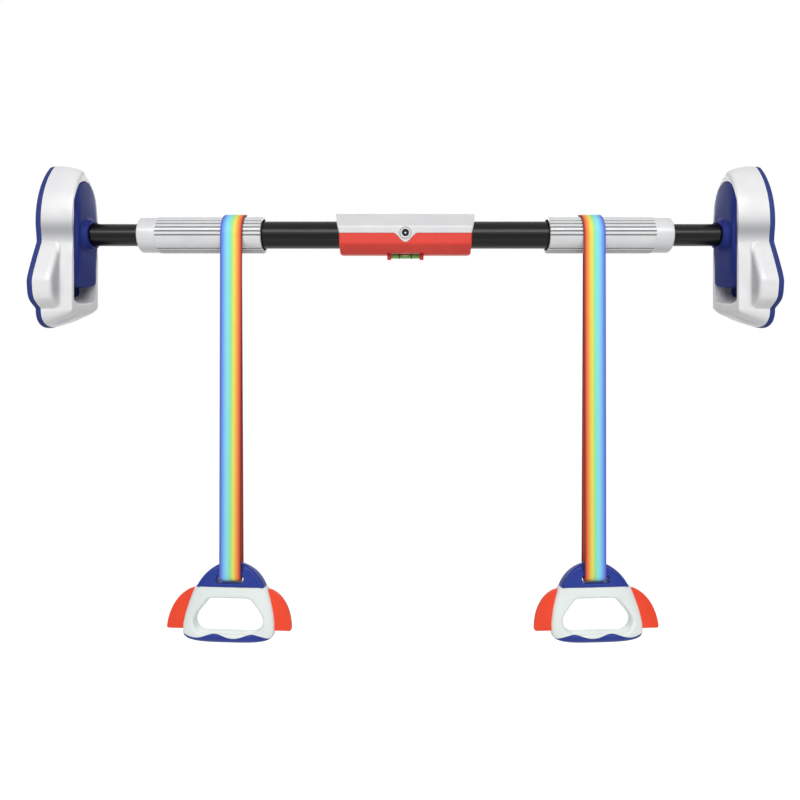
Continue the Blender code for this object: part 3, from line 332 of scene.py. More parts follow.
def block(name: str, low: Triple, high: Triple) -> bpy.types.Object:
    """A box between two corners, to cut with.

    Args:
        name: The new object's name.
        low: Its lowest corner.
        high: Its highest corner.

    Returns:
        The new object.
    """
    pick = np.array([[x, y, z] for x in (0, 1) for y in (0, 1) for z in (0, 1)])
    faces = [[0, 1, 3, 2], [4, 6, 7, 5], [0, 4, 5, 1], [2, 3, 7, 6], [0, 2, 6, 4], [1, 5, 7, 3]]
    return make(name, np.array(low) + pick * (np.array(high) - np.array(low)), faces)


def combine(obj: bpy.types.Object, tools: list[bpy.types.Object], keep: Keep,
            crease: float = 32.0) -> None:
    """Cuts an object by others, and removes them.

    Args:
        obj: The object whose mesh changes.
        tools: The objects to combine it with, one after another.
        keep: Which part of it stays, outside the tools or inside them.
        crease: The angle in degrees past which an edge stays sharp.
    """
    for tool in tools:
        step = obj.modifiers.new("combine", "BOOLEAN")
        step.operation, step.solver, step.object = keep.value, "EXACT", tool
        graph = bpy.context.evaluated_depsgraph_get()
        mesh = bpy.data.meshes.new_from_object(obj.evaluated_get(graph))
        obj.modifiers.clear()
        obj.data = mesh
        bpy.data.objects.remove(tool)
    settle(obj.data, crease)


# Materials


def linear(colour: Triple) -> tuple[float, float, float, float]:
    """A colour as seen, 0 to 255, as the linear values that a shader takes.

    Args:
        colour: Red, green and blue as seen.

    Returns:
        Linear red, green and blue, and 1 for opaque.
    """
    seen = np.array(colour) / 255
    light = np.where(seen <= 0.04045, seen / 12.92, ((seen + 0.055) / 1.055) ** 2.4)
    return (*light.tolist(), 1.0)


class NodeSheet:
    """A node tree that is laid out from left to right."""

    def __init__(self, tree: bpy.types.NodeTree) -> None:
        """Takes the tree to fill."""
        self.tree = tree

    @classmethod
    def fresh(cls, owner: bpy.types.Material | bpy.types.World) -> "NodeSheet":
        """Empties the node tree of a material or a world and takes it.

        Args:
            owner: The material or world.

        Returns:
            The sheet of its emptied tree.
        """
        owner.use_nodes = True
        owner.node_tree.nodes.clear()
        return cls(owner.node_tree)

    def add(self, kind: str, inputs: dict | None = None, **settings: object) -> bpy.types.Node:
        """Adds a node.

        Args:
            kind: The node's type.
            inputs: Values for its sockets, or the sockets to link to them.
            **settings: The node's own settings.

        Returns:
            The new node.
        """
        node = self.tree.nodes.new(kind)
        node.location = (180 * len(self.tree.nodes), 0)
        for key, value in settings.items():
            setattr(node, key, value)
        for key, value in (inputs or {}).items():
            if isinstance(value, Socket):
                self.tree.links.new(value, node.inputs[key])
            else:
                node.inputs[key].default_value = value
        return node

    def use(self, fill: Callable[["NodeSheet", bpy.types.NodeOutputs], dict],
            **inputs: object) -> bpy.types.NodeOutputs:
        """Places the node group that a function lays out, built once under the function's name.

        Args:
            fill: Takes the group's sheet and its inputs, and returns the socket for each output.
            **inputs: Values or sockets for its inputs; Position is a vector, the rest are numbers.

        Returns:
            The placed group's outputs.
        """
        tree = bpy.data.node_groups.get(fill.__name__)
        if not tree:
            tree = bpy.data.node_groups.new(fill.__name__, "ShaderNodeTree")
            for key in inputs:
                kind = "NodeSocketVector" if key == "Position" else "NodeSocketFloat"
                tree.interface.new_socket(key, in_out="INPUT", socket_type=kind)
            sheet = NodeSheet(tree)
            given = fill(sheet, sheet.add("NodeGroupInput").outputs)
            for key in given:
                tree.interface.new_socket(key, in_out="OUTPUT", socket_type="NodeSocketFloat")
            sheet.add("NodeGroupOutput", given)
        return self.add("ShaderNodeGroup", inputs, node_tree=tree).outputs

    def math(self, operation: str, a: object, b: object = 0.0) -> Socket:
        """One step of arithmetic on two values or sockets."""
        return self.add("ShaderNodeMath", {0: a, 1: b}, operation=operation).outputs[0]

    def noise(self, where: Socket, scale: object, detail: float) -> Socket:
        """Noise at a position, about 0.5 in the middle."""
        return self.add("ShaderNodeTexNoise", {"Vector": where, "Scale": scale, "Detail": detail}).outputs[0]

    def blend(self, share: object, a: object, b: object) -> Socket:
        """A colour between two, by a share."""
        return self.add("ShaderNodeMix", {0: share, 6: a, 7: b}, data_type="RGBA").outputs[2]

    def between(self, value: object, low: float, high: float) -> Socket:
        """A value from 0 to 1 brought to run from low to high."""
        return self.add("ShaderNodeMapRange", {0: value, 3: low, 4: high}).outputs[0]

    def bump(self, height: Socket, strength: float, distance: float) -> Socket:
        """A normal that follows a height."""
        sockets = {"Strength": strength, "Distance": distance, "Height": height}
        return self.add("ShaderNodeBump", sockets).outputs[0]

    def own_point(self) -> Socket:
        """The surface's place in its object."""
        return self.add("ShaderNodeTexCoord").outputs["Object"]


def moulded_grain(sheet: NodeSheet, taken: bpy.types.NodeOutputs) -> dict:
    """The fine pebble of moulded plastic: fine noise and half as much of one three times coarser.

    Args:
        sheet: The group's sheet.
        taken: The group's inputs.

    Returns:
        The group's outputs by name.
    """
    where, scale = taken["Position"], taken["Scale"]
    coarse = sheet.noise(where, sheet.math("MULTIPLY", scale, 0.33), 1.0)
    return {"Height": sheet.math("ADD", sheet.noise(where, scale, 3.0), sheet.math("MULTIPLY", coarse, 0.5))}


def soft_mottle(sheet: NodeSheet, taken: bpy.types.NodeOutputs) -> dict:
    """Slow patches of handling and moulding: the contrast of low noise drawn out round its middle."""
    noise = sheet.noise(taken["Position"], taken["Scale"], 4.0)
    return {"Mask": sheet.add("ShaderNodeMapRange", {0: noise, 1: 0.35, 2: 0.65}).outputs[0]}


def fine_scratches(sheet: NodeSheet, taken: bpy.types.NodeOutputs) -> dict:
    """Hairline marks round a turned piece: noise squeezed along X so that it runs round.

    Args:
        sheet: The group's sheet.
        taken: The group's inputs.

    Returns:
        The group's outputs by name.
    """
    squeeze = {0: taken["Position"], 1: (60.0, 1.0, 1.0)}
    drawn = sheet.add("ShaderNodeVectorMath", squeeze, operation="MULTIPLY").outputs[0]
    return {"Mask": sheet.noise(drawn, taken["Scale"], 2.0)}


def webbing_weave(sheet: NodeSheet, taken: bpy.types.NodeOutputs) -> dict:
    """Plain narrow weave: a wave across the ribs times one along the picks, offset on every second rib.

    Args:
        sheet: The group's sheet.
        taken: The group's inputs.

    Returns:
        The group's outputs by name.
    """
    parts = sheet.add("ShaderNodeSeparateXYZ", {0: taken["Position"]}).outputs
    across = sheet.math("MULTIPLY", parts[0], taken["Ribs"])
    along = sheet.math("MULTIPLY", parts[1], taken["Picks"])
    offset = sheet.math("MULTIPLY", sheet.math("MODULO", sheet.math("FLOOR", across), 2.0), 0.5)
    rib = sheet.math("ABSOLUTE", sheet.math("SINE", sheet.math("MULTIPLY", across, math.pi)))
    turn = sheet.math("MULTIPLY", sheet.math("ADD", along, offset), TURN)
    pick = sheet.between(sheet.math("SINE", turn), 0.35, 0.65)
    return {"Height": sheet.math("MULTIPLY", rib, pick), "Shade": rib}


@dataclass(frozen=True)
class Finish:
    """A named material that is built when a piece first takes it."""

    name: str

    def material(self) -> bpy.types.Material:
        """Builds the finish once and returns it.

        Returns:
            The material.
        """
        material = bpy.data.materials.get(self.name)
        if not material:
            material = bpy.data.materials.new(self.name)
            sheet = NodeSheet.fresh(material)
            shader = sheet.add("ShaderNodeBsdfPrincipled", self.surface(sheet))
            sheet.add("ShaderNodeOutputMaterial", {"Surface": shader.outputs[0]})
        return material

    def surface(self, sheet: NodeSheet) -> dict:
        """The Principled shader's inputs, which each kind of finish lays out."""
        raise NotImplementedError(self.name)


@dataclass(frozen=True)
class MouldedFinish(Finish):
    """A moulded plastic or rubber: a colour that drifts, a fine grain and its gloss."""

    colour: Triple
    drift: Triple
    roughness: float
    grain_scale: float = 2200.0
    grain_depth: float = 0.00002
    coat: float = 0.0
    specular: float = 0.5
    # The colour of painted shade laid into hollows, where shade falls.
    hollow: Triple | None = None

    def surface(self, sheet: NodeSheet) -> dict:
        """Blends the two colours in patches, and toward the painted shade colour by the tone attribute.

        Args:
            sheet: The material's sheet.

        Returns:
            The Principled shader's inputs by name.
        """
        where = sheet.own_point()
        mask = sheet.use(soft_mottle, Position=where, Scale=35.0)["Mask"]
        grain = sheet.use(moulded_grain, Position=where, Scale=self.grain_scale)["Height"]
        colour = sheet.blend(mask, linear(self.colour), linear(self.drift))
        if self.hollow:
            # Painted shade: the colour darkens toward the shade colour by the per-point attribute.
            tone = sheet.add("ShaderNodeAttribute", attribute_name="tone").outputs["Fac"]
            colour = sheet.blend(tone, colour, linear(self.hollow))
        return {
            "Base Color": colour,
            "Roughness": sheet.between(mask, self.roughness - 0.03, self.roughness + 0.03),
            "Specular IOR Level": self.specular,
            "Coat Weight": self.coat,
            "Coat Roughness": 0.12,
            "Normal": sheet.bump(grain, 0.35, self.grain_depth),
        }


@dataclass(frozen=True)
class MetalFinish(Finish):
    """Plated or painted metal with faint marks round it."""

    colour: Triple
    worn: Triple
    roughness: float
    metallic: float = 1.0
    specular: float = 0.5

    def surface(self, sheet: NodeSheet) -> dict:
        """Lets the marks carry the colour, the roughness and a faint relief.

        Args:
            sheet: The material's sheet.

        Returns:
            The Principled shader's inputs by name.
        """
        marks = sheet.use(fine_scratches, Position=sheet.own_point(), Scale=60.0)["Mask"]
        return {
            "Base Color": sheet.blend(marks, linear(self.colour), linear(self.worn)),
            "Metallic": self.metallic,
            "Roughness": sheet.between(marks, self.roughness - 0.04, self.roughness + 0.04),
            "Specular IOR Level": self.specular,
            "Normal": sheet.bump(marks, 0.3, 0.000004),
        }


@dataclass(frozen=True)
class ClearFinish(Finish):
    """Clear acrylic or tinted fluid, with faint streaks in its tint and an opacity."""

    tint: Triple
    streak: Triple
    opacity: float
    roughness: float = 0.03
    ior: float = 1.45

    def surface(self, sheet: NodeSheet) -> dict:
        """Streaks the tint and sets how much of it covers.

        Args:
            sheet: The material's sheet.

        Returns:
            The Principled shader's inputs by name.
        """
        mask = sheet.use(soft_mottle, Position=sheet.own_point(), Scale=90.0)["Mask"]
        return {
            "Base Color": sheet.blend(mask, linear(self.tint), linear(self.streak)),
            "Roughness": self.roughness,
            "IOR": self.ior,
            "Alpha": self.opacity,
        }


@dataclass(frozen=True)
class WebbingFinish(Finish):
    """Rainbow webbing: lengthwise bands across UV u, with the weave's ribs and picks."""

    bands: tuple[tuple[float, Triple], ...]
    ribs: float = 26.0
    picks: float = 900.0
    shadow: Triple = (40, 60, 80)

    def surface(self, sheet: NodeSheet) -> dict:
        """Sets the bands' colours along a ramp and shades them between the ribs.

        Args:
            sheet: The material's sheet.

        Returns:
            The Principled shader's inputs by name.
        """
        uv = sheet.add("ShaderNodeUVMap", uv_map="cloth").outputs[0]
        ramp = sheet.add("ShaderNodeValToRGB", {0: sheet.add("ShaderNodeSeparateXYZ", {0: uv}).outputs[0]})
        stops = ramp.color_ramp.elements
        while len(stops) < len(self.bands):
            stops.new(0.5)
        for stop, (at, colour) in zip(stops, self.bands):
            stop.position, stop.color = at, linear(colour)
        weave = sheet.use(webbing_weave, Position=uv, Ribs=self.ribs, Picks=self.picks)
        shade = sheet.between(weave["Shade"], 0.06, 0.0)
        return {
            "Base Color": sheet.blend(shade, ramp.outputs[0], linear(self.shadow)),
            "Roughness": 0.72,
            "Sheen Weight": 0.15,
            "Specular IOR Level": 0.25,
            "Normal": sheet.bump(weave["Height"], 0.5, 0.00018),
        }


# The last colour of the pearl finishes is painted shade for hollows: the shell's waist and fins, the grip
# flutes and the boss groove.
PEARL = MouldedFinish("pearl_silver_shell", (237, 237, 238), (231, 231, 233), 0.34, 3200.0, coat=0.2,
                      hollow=(152, 153, 155))
GRIP_WHITE = MouldedFinish("pearl_grip", (226, 227, 228), (219, 220, 222), 0.30, 3200.0, coat=0.2,
                           hollow=(122, 124, 127))
COVER_WHITE = MouldedFinish("pearl_cover", (224, 224, 225), (218, 218, 220), 0.32, 3200.0, coat=0.2,
                            hollow=(120, 121, 124))
COVER_RED = MouldedFinish("satin_red", (226, 60, 44), (218, 54, 40), 0.42, specular=0.45)
ROYAL = MouldedFinish("satin_royal_blue", (44, 57, 130), (40, 52, 122), 0.45, specular=0.05)
RUBBER = MouldedFinish("satin_blue_rubber", (44, 58, 128), (39, 52, 118), 0.62, 1500.0, 0.00005,
                       specular=0.25)
NYLON = MouldedFinish("pale_nylon_plug", (216, 214, 206), (208, 206, 198), 0.5)
HANDLE_BLUE = MouldedFinish("satin_handle_blue", (46, 66, 156), (42, 61, 148), 0.32, specular=0.16)
HANDLE_WHITE = MouldedFinish("cool_white_handle", (243, 250, 247), (238, 246, 243), 0.40)
WING_ORANGE = MouldedFinish("orange_red_wing", (250, 78, 48), (244, 72, 44), 0.42, specular=0.3)
LEVEL_BLACK = MouldedFinish("level_ring_black", (24, 26, 24), (30, 32, 30), 0.45)
ENAMEL = MetalFinish("glossy_black_enamel", (5, 5, 6), (7, 7, 8), 0.26, 0.0, 0.24)
ZINC = MetalFinish("bright_zinc_plate", (196, 198, 203), (170, 172, 178), 0.28)
BLACK_OXIDE = MetalFinish("black_oxide_steel", (16, 16, 17), (24, 24, 26), 0.38, 0.2, 0.3)
ACRYLIC = ClearFinish("clear_tube_acrylic", (196, 226, 170), (188, 220, 162), 0.12)
FLUID = ClearFinish("green_level_liquid", (138, 222, 102), (130, 214, 96), 1.0, 0.25, 1.36)
BUBBLE = ClearFinish("level_air_bubble", (246, 252, 206), (240, 250, 196), 1.0, 0.12, 1.1)
RAINBOW = WebbingFinish("woven_rainbow", (
    (0.0, (104, 84, 176)), (0.05, (96, 112, 222)), (0.14, (112, 168, 250)), (0.25, (140, 216, 252)),
    (0.37, (150, 240, 250)), (0.46, (142, 244, 206)), (0.54, (186, 240, 140)), (0.62, (242, 242, 118)),
    (0.71, (254, 214, 92)), (0.80, (254, 164, 76)), (0.88, (246, 116, 70)), (0.94, (206, 72, 62)),
    (1.0, (72, 22, 30)),
))


def dress(finish: Finish, *nodes: str) -> None:
    """Puts a finish on the slots of solids that stay as they are.

    Args:
        finish: The finish.
        *nodes: The solids' names.
    """
    for node in nodes:
        obj = bpy.data.objects[node]
        if not obj.material_slots:
            obj.data.materials.append(None)
        for slot in obj.material_slots:
            slot.material = finish.material()


def place(obj: bpy.types.Object, finish: Finish, body: str, slot: str, *nodes: str) -> None:
    """Finishes a new piece, hangs it on its body and reports it.

    Args:
        obj: The new piece.
        finish: Its finish.
        body: The body that it rides on.
        slot: The record's material slot for the piece; not used.
        *nodes: The solids that it stands for.
    """
    obj.data.materials.clear()
    obj.data.materials.append(finish.material())
    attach(obj, body)
    if nodes:
        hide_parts(*nodes)
    LOG.info("%s: %d faces, rides on %s", obj.name, len(obj.data.polygons), body)


@dataclass
class OneSide:
    """A sub-assembly that each side of the bar has."""

    side: Side

    def named(self, part: str) -> str:
        """The name of this side's part."""
        return self.side.named(part)

    def put(self, obj: bpy.types.Object, finish: Finish, body: str, slot: str, node: str) -> None:
        """Places a piece on this side's body, in place of this side's solid."""
        place(obj, finish, self.named(body), slot, self.named(node))


# The bar


@dataclass
class MainTube:
    """The black steel tube, in two halves that meet in the centre sleeve."""

    radius: float = 0.016
    wall: float = 0.0012
    half_length: float = 0.2995
    edge: float = 0.0003

    def build(self) -> None:
        """Builds both halves and finishes the sleeve between them."""
        profile = sleeve(FIT / 2, self.half_length, self.radius - self.wall, self.radius, self.edge)
        for side in Side:
            tube = skin(side.named("tube"), side.along(revolved(profile)), closed=True)
            place(tube, ENAMEL, "bar", "black_gloss_steel", f"main_tube_{side.word}")
        dress(ZINC, "coupling_sleeve", "left_drive_nut", "right_drive_nut")


@dataclass
class CentreCover:
    """The octagonal cover: a pearl upper half with screw tabs over a red lower half."""

    apothem: float = 0.02375
    upper_flat: float = 0.0083
    lower_flat: float = 0.0124
    edge_radius: float = 0.004
    top_half: float = 0.080
    seam_half: float = 0.075
    bottom_half: float = 0.0744
    corner: float = 0.0016
    seam_height: float = 0.0005
    tab_half: float = 0.014
    tab_drop: float = 0.0103
    bore: float = 0.0163
    screw_hole: float = 0.0042
    boss_root: float = 0.0215
    boss_radius: float = 0.0075
    groove_radius: float = 0.0061
    groove_half: float = 0.0004
    screw_root: float = 0.0166
    screw_seat: float = 0.0206
    screw_head: float = 0.0226
    screw_radius: float = 0.0038
    shank_radius: float = 0.0020
    pin_radius: float = 0.0014
    rows: int = 181
    crease: float = 28.0

    def octagon(self, flat: float) -> Array:
        """The outline over the top, (y, z) from the front at z = 0 to the back: flats joined by arcs.

        Args:
            flat: How high up the front flat reaches, and how far out the top one does.

        Returns:
            The outline's points.
        """
        eighth, out = np.pi / 8, self.apothem
        middle = np.pi - eighth - np.arange(4) * np.pi / 4
        corner = np.array([(-out, flat), (-flat, out), (flat, out), (out, flat)])
        centre = corner - points_of(np.cos(middle), np.sin(middle)) * self.edge_radius / math.cos(eighth)
        angle = middle[:, None] + np.linspace(eighth, -eighth, 7)
        arcs = centre[:, None, :] + self.edge_radius * points_of(np.cos(angle), np.sin(angle))
        return np.vstack([[(-out, 0.0)], arcs.reshape(-1, 2), [(out, 0.0)]])

    def half_shell(self, half: Half) -> bpy.types.Object:
        """One half of the cover.

        The outline over the top or under the bottom is cut off at the seam's level,
        which drops by a raised cosine at the tab, and stretched along X to the slanted
        ends. The inside is the same points drawn in to the bore.

        Args:
            half: Which half to make.

        Returns:
            The half shell.
        """
        way, upper = half.value, half is Half.UPPER
        line = self.octagon(self.upper_flat if upper else self.lower_flat)
        share = np.linspace(0, 1, 9)[:, None]
        front = line[0] * (1 - share) + line[1] * share
        outline = np.vstack([front, line[2:-2], (front * OTHER_WAY)[::-1]])
        turn = quarter(5)
        pull = np.zeros(self.rows)
        pull[:5] = self.corner * (1 - np.sin(turn))
        pull[-5:] = pull[4::-1]
        u = np.linspace(-1, 1, self.rows)
        u[:5] = -1 + self.corner * (1 - np.cos(turn)) / self.top_half
        u[-5:] = -u[4::-1]
        gap = 0 if upper else FIT
        x, reach = u * self.seam_half, self.tab_half + gap
        bell = np.where(np.abs(x) < reach, (1 + np.cos(np.pi * x / reach)) / 2, 0.0)
        seam = self.seam_height - gap - self.tab_drop * bell
        y, z = outline[:, 0], outline[:, 1] * way
        flat_top = line[1, 1]
        rise = unit(np.abs(z) / flat_top)
        z = np.where(np.abs(z) <= flat_top + 1e-9, seam[:, None] * (1 - rise) + way * flat_top * rise, z)
        climb = self.apothem - (self.seam_height if upper else 0)
        up = unit((z - self.seam_height) * way / climb)
        end = self.top_half if upper else self.bottom_half
        x = u[:, None] * (self.seam_half + (end - self.seam_half) * up)
        length = np.hypot(y, z)
        outside, inside = 1 - pull[:, None] / length, self.bore / length
        outer = points_of(x, y * outside, z * outside)
        inner = points_of(x, y * inside, z * inside)
        loop = np.concatenate([outer, inner[:, ::-1]], axis=1)
        rows, count, _ = loop.shape
        low = np.arange(count // 2 - 1)
        cap = np.stack([low, low + 1, count - 2 - low, count - 1 - low], axis=1)
        faces = np.vstack([grid_faces(rows, count, False), cap, cap + (rows - 1) * count])
        return make(f"cover_{half.name.lower()}", loop.reshape(-1, 3), faces.tolist(), self.crease)

    def turned(self, profile: Array, face: Face, columns: int) -> Array:
        """Turns (distance from the axis, radius) points about the screws' line, on one face's side.

        Args:
            profile: The points to turn.
            face: The side that they face.
            columns: The points in each ring.

        Returns:
            The rings.
        """
        rings = revolved(profile, columns)
        forward = points_of(rings[..., 1], -rings[..., 0] * face.value, rings[..., 2])
        return shifted(forward, z=self.seam_height)

    def build(self) -> None:
        """Builds both halves with the screw hole, the bosses and the level's seat."""
        hole = np.array([(0.014, self.screw_hole), (0.030, self.screw_hole)])
        upper = self.half_shell(Half.UPPER)
        tools = [skin("hole_tool", self.turned(hole, face, 48)) for face in Face]
        combine(upper, tools, Keep.OUTSIDE, self.crease)
        place(upper, COVER_WHITE, "bar", "pearl_white_plastic", "cover_top")
        lower = self.half_shell(Half.LOWER)
        level = LevelVial()
        combine(lower, [level.seat_tool()], Keep.OUTSIDE, self.crease)
        place(lower, COVER_RED, "bar", "red_plastic", "cover_bottom")
        self.build_bosses()
        level.build()

    def build_bosses(self) -> None:
        """Builds the stepped ring round each lock screw with painted shade in its groove, the screw with its
        hex socket, and a bright pin in the socket as a painted glint.
        """
        root, low, high = self.boss_root, self.apothem + 0.0005, self.apothem + 0.0010
        wide = self.boss_radius
        ring = np.vstack([
            [(root, self.screw_hole), (root, wide)],
            rounded_step((root, wide), (low, wide), (low, 0.006), 0.0003),
            [(low, self.groove_radius)],
            rounded_step((low, 0.006), (high, 0.0058), (high, 0.005), 0.0003),
            [(high, 0.0050), (self.apothem + 0.0006, 0.0043)],
        ])
        start, seat, head, middle = self.screw_root, self.screw_seat, self.screw_head, 0.0001
        thin, thick = self.shank_radius, self.screw_radius
        screw = np.vstack([
            [(start, middle), (start, thin), (seat, thin), (seat, thick)],
            rounded_step((seat, thick), (head, thick), (head, thin), 0.0006),
            [(head, middle)],
        ])
        socket = np.array([(0.0204, 0.0023), (0.0240, 0.0023)])
        # A bright zinc pin in the socket's bottom: a painted glint, standing in for light reflected there.
        glint_pin = np.array([(0.0198, middle), (0.0198, self.pin_radius), (0.0212, self.pin_radius),
                        (0.0216, 0.0009), (0.0217, middle)])
        # Painted shade in the boss ring's groove.
        step = unit(1 - np.abs(ring[:, 1] - self.groove_radius) / self.groove_half)
        tone = np.broadcast_to(step[:, None], (len(ring), 64))
        for face in Face:
            word = face.name.lower()
            boss = skin(f"{word}_boss", self.turned(ring, face, 64), True, tone=tone)
            place(boss, COVER_WHITE, "bar", "pearl_white_plastic")
            body = skin(f"{word}_lock_screw", self.turned(screw, face, 48))
            combine(body, [skin("socket_tool", self.turned(socket, face, 6))], Keep.OUTSIDE)
            place(body, BLACK_OXIDE, "bar", "zinc_steel", f"lock_screw_{word}")
            place(skin(f"{word}_socket_pin", self.turned(glint_pin, face, 32)), ZINC, "bar", "zinc_steel")


@dataclass
class LevelVial:
    """The spirit level under the cover, between two posts."""

    gap: float = 0.033
    radius: float = 0.0031
    wall: float = 0.0003
    socket: float = 0.0012
    seat_level: float = -0.0213
    post_width: float = 0.0045
    post_half_depth: float = 0.0048
    post_drop: float = 0.0078
    post_round: float = 0.0012
    post_edge: float = 0.0004
    bubble_half: float = 0.0052
    bubble_radius: float = 0.0013
    mark_offset: float = 0.0069
    mark_half: float = 0.0006

    @property
    def height(self) -> float:
        """Level of the vial's axis."""
        return self.seat_level - FIT - self.radius

    def seat_tool(self) -> bpy.types.Object:
        """The block that cuts the level's flat seat into the lower cover."""
        half = self.gap / 2 + self.post_width
        return block("seat_tool", (-half, -0.03, -0.04), (half, 0.03, self.seat_level))

    def turned(self, profile: Array) -> Array:
        """Turns (x, radius) points about the vial's axis."""
        return shifted(revolved(profile, 64), z=self.height)

    def build(self) -> None:
        """Builds the posts, the clear tube, the fluid, its bubble and two black rings."""
        ring = sleeve(self.mark_offset - self.mark_half, self.mark_offset + self.mark_half,
                      self.radius - 0.0002, self.radius + 0.00006)
        for side in Side:
            post = skin(side.named("level_post"), side.along(self.post_rings()), crease=40)
            place(post, COVER_RED, "bar", "red_plastic")
            mark = skin(side.named("level_ring"), side.along(self.turned(ring)), True)
            place(mark, LEVEL_BLACK, "bar", "clear_acrylic")
        half, bore = self.gap / 2 + self.socket, self.radius - self.wall
        tube = skin("level_tube", self.turned(sleeve(-half, half, bore, self.radius)), True)
        place(tube, ACRYLIC, "bar", "clear_acrylic", "level_vial")
        inside = half - FIT
        liquid = skin("level_liquid", self.turned(sleeve(-inside, inside, 0.0001, bore - 0.00005)))
        place(liquid, FLUID, "bar", "green_level_fluid", "level_fluid")
        t = np.linspace(0, np.pi, 25)
        egg = points_of(-self.bubble_half * np.cos(t), 0.00002 + self.bubble_radius * np.sin(t) ** 0.7)
        rings = revolved(egg, 32) * np.array([1.0, 1.35, 0.9])
        bubble = skin("level_bubble", shifted(rings, y=-0.0013, z=self.height + 0.0005))
        place(bubble, BUBBLE, "bar", "green_level_fluid")

    def post_rings(self) -> Array:
        """A post with a rounded foot: rings of one outline in y and z, drawn in at both faces.

        Returns:
            The rings of the right post.
        """
        deep, radius, ease = self.post_half_depth, self.post_round, self.post_edge
        low = self.seat_level - self.post_drop
        t = quarter(6)
        corner = points_of(deep - radius + radius * np.cos(t), low + radius - radius * np.sin(t))
        half = np.vstack([[(deep, self.seat_level + 0.001)], corner])
        y, z = np.vstack([half, (half * OTHER_WAY)[::-1]]).T
        start, end = self.gap / 2, self.gap / 2 + self.post_width
        x = np.array([start, start + ease, end - ease, end])[:, None]
        inset = np.array([ease, 0.0, 0.0, ease])[:, None]
        return points_of(x, y * (1 - inset / deep), z + inset * (z < self.seat_level - 0.002))


@dataclass
class Grip(OneSide):
    """A hand grip with four groups of five flutes and a plain collar at its outer end."""

    radius: float = 0.0215
    length: float = 0.141
    outer_end: float = 0.3050
    collar_radius: float = 0.02085
    collar_length: float = 0.0215
    collar_round: float = 0.0022
    rim_wall: float = 0.0032
    bore: float = 0.0163
    recess: float = 0.006
    flutes: int = 5
    pitch: float = math.radians(12.5)
    half_angle: float = math.radians(3.1)
    depth: float = 0.0013
    groups: tuple[float, ...] = (160.0, 256.7, 344.5, 72.2)
    columns: int = 1080

    def flute(self, angle: Array) -> Array:
        """How deep the flutes cut at each angle: a power of the cosine about each flute's middle.

        Args:
            angle: The angles round the grip.

        Returns:
            A share of the full depth for each.
        """
        middle = np.radians(np.array(self.groups))[:, None]
        within = np.mod(angle[None, :] - middle + np.pi, TURN) - np.pi
        reach = (self.flutes - 1) / 2
        nearest = np.clip(np.round(within / self.pitch), -reach, reach) * self.pitch
        off = np.min(np.abs(within - nearest), axis=0) / self.half_angle
        return np.where(off < 1, np.cos(unit(off) * np.pi / 2) ** 0.9, 0.0)

    def profile(self) -> tuple[Array, Array]:
        """The grip's profile from its inner end outward and back through its bore.

        Returns:
            The (x, radius) points from the inner end, and how far each takes the flutes.
        """
        end, wide, narrow = self.length, self.radius, self.collar_radius
        collar, rim = end - self.collar_length, self.radius - self.rim_wall
        ease = rounded_step((0, wide - 0.003), (0, wide), (0.01, wide), 0.0012)
        body = points_of(np.linspace(0.0015, collar - 0.001, 12), wide)
        step = [(collar, wide), (collar + 0.0003, wide - 0.0003), (collar + 0.0005, narrow),
                (collar + 0.004, narrow)]
        shoulder = rounded_step((end - 0.01, narrow), (end, narrow), (end, narrow - 0.01),
                                self.collar_round, 8)
        inside = [(end, self.bore + 0.0002), (end - 0.0029, self.bore), (self.recess, self.bore),
                  (self.recess, rim), (0.0, rim)]
        points = np.vstack([[(0.0, rim + 0.0004)], ease, body, step, shoulder, inside])
        takes = np.zeros(len(points))
        fluted = 2 + len(ease) + len(body)
        takes[1:fluted], takes[fluted] = 1.0, 0.6
        return points, takes[:, None]

    def build(self) -> None:
        """Builds the grip and finishes the bush under its lip."""
        points, takes = self.profile()
        angle = np.linspace(0, TURN, self.columns, endpoint=False)
        cut = self.flute(angle)
        radius = points[:, 1:] - self.depth * takes * cut
        rings = points_of(points[:, :1] + self.outer_end - self.length, radius * np.cos(angle),
                          radius * np.sin(angle))
        # Painted shade: the flutes darken by their depth toward the grip's shade colour.
        grip = skin(self.named("fluted_grip"), self.side.along(rings), True, 40, takes * cut)
        place(grip, GRIP_WHITE, "bar", "pearl_white_plastic", self.named("grip"))
        dress(NYLON, self.named("guide_bush"))


# The feet


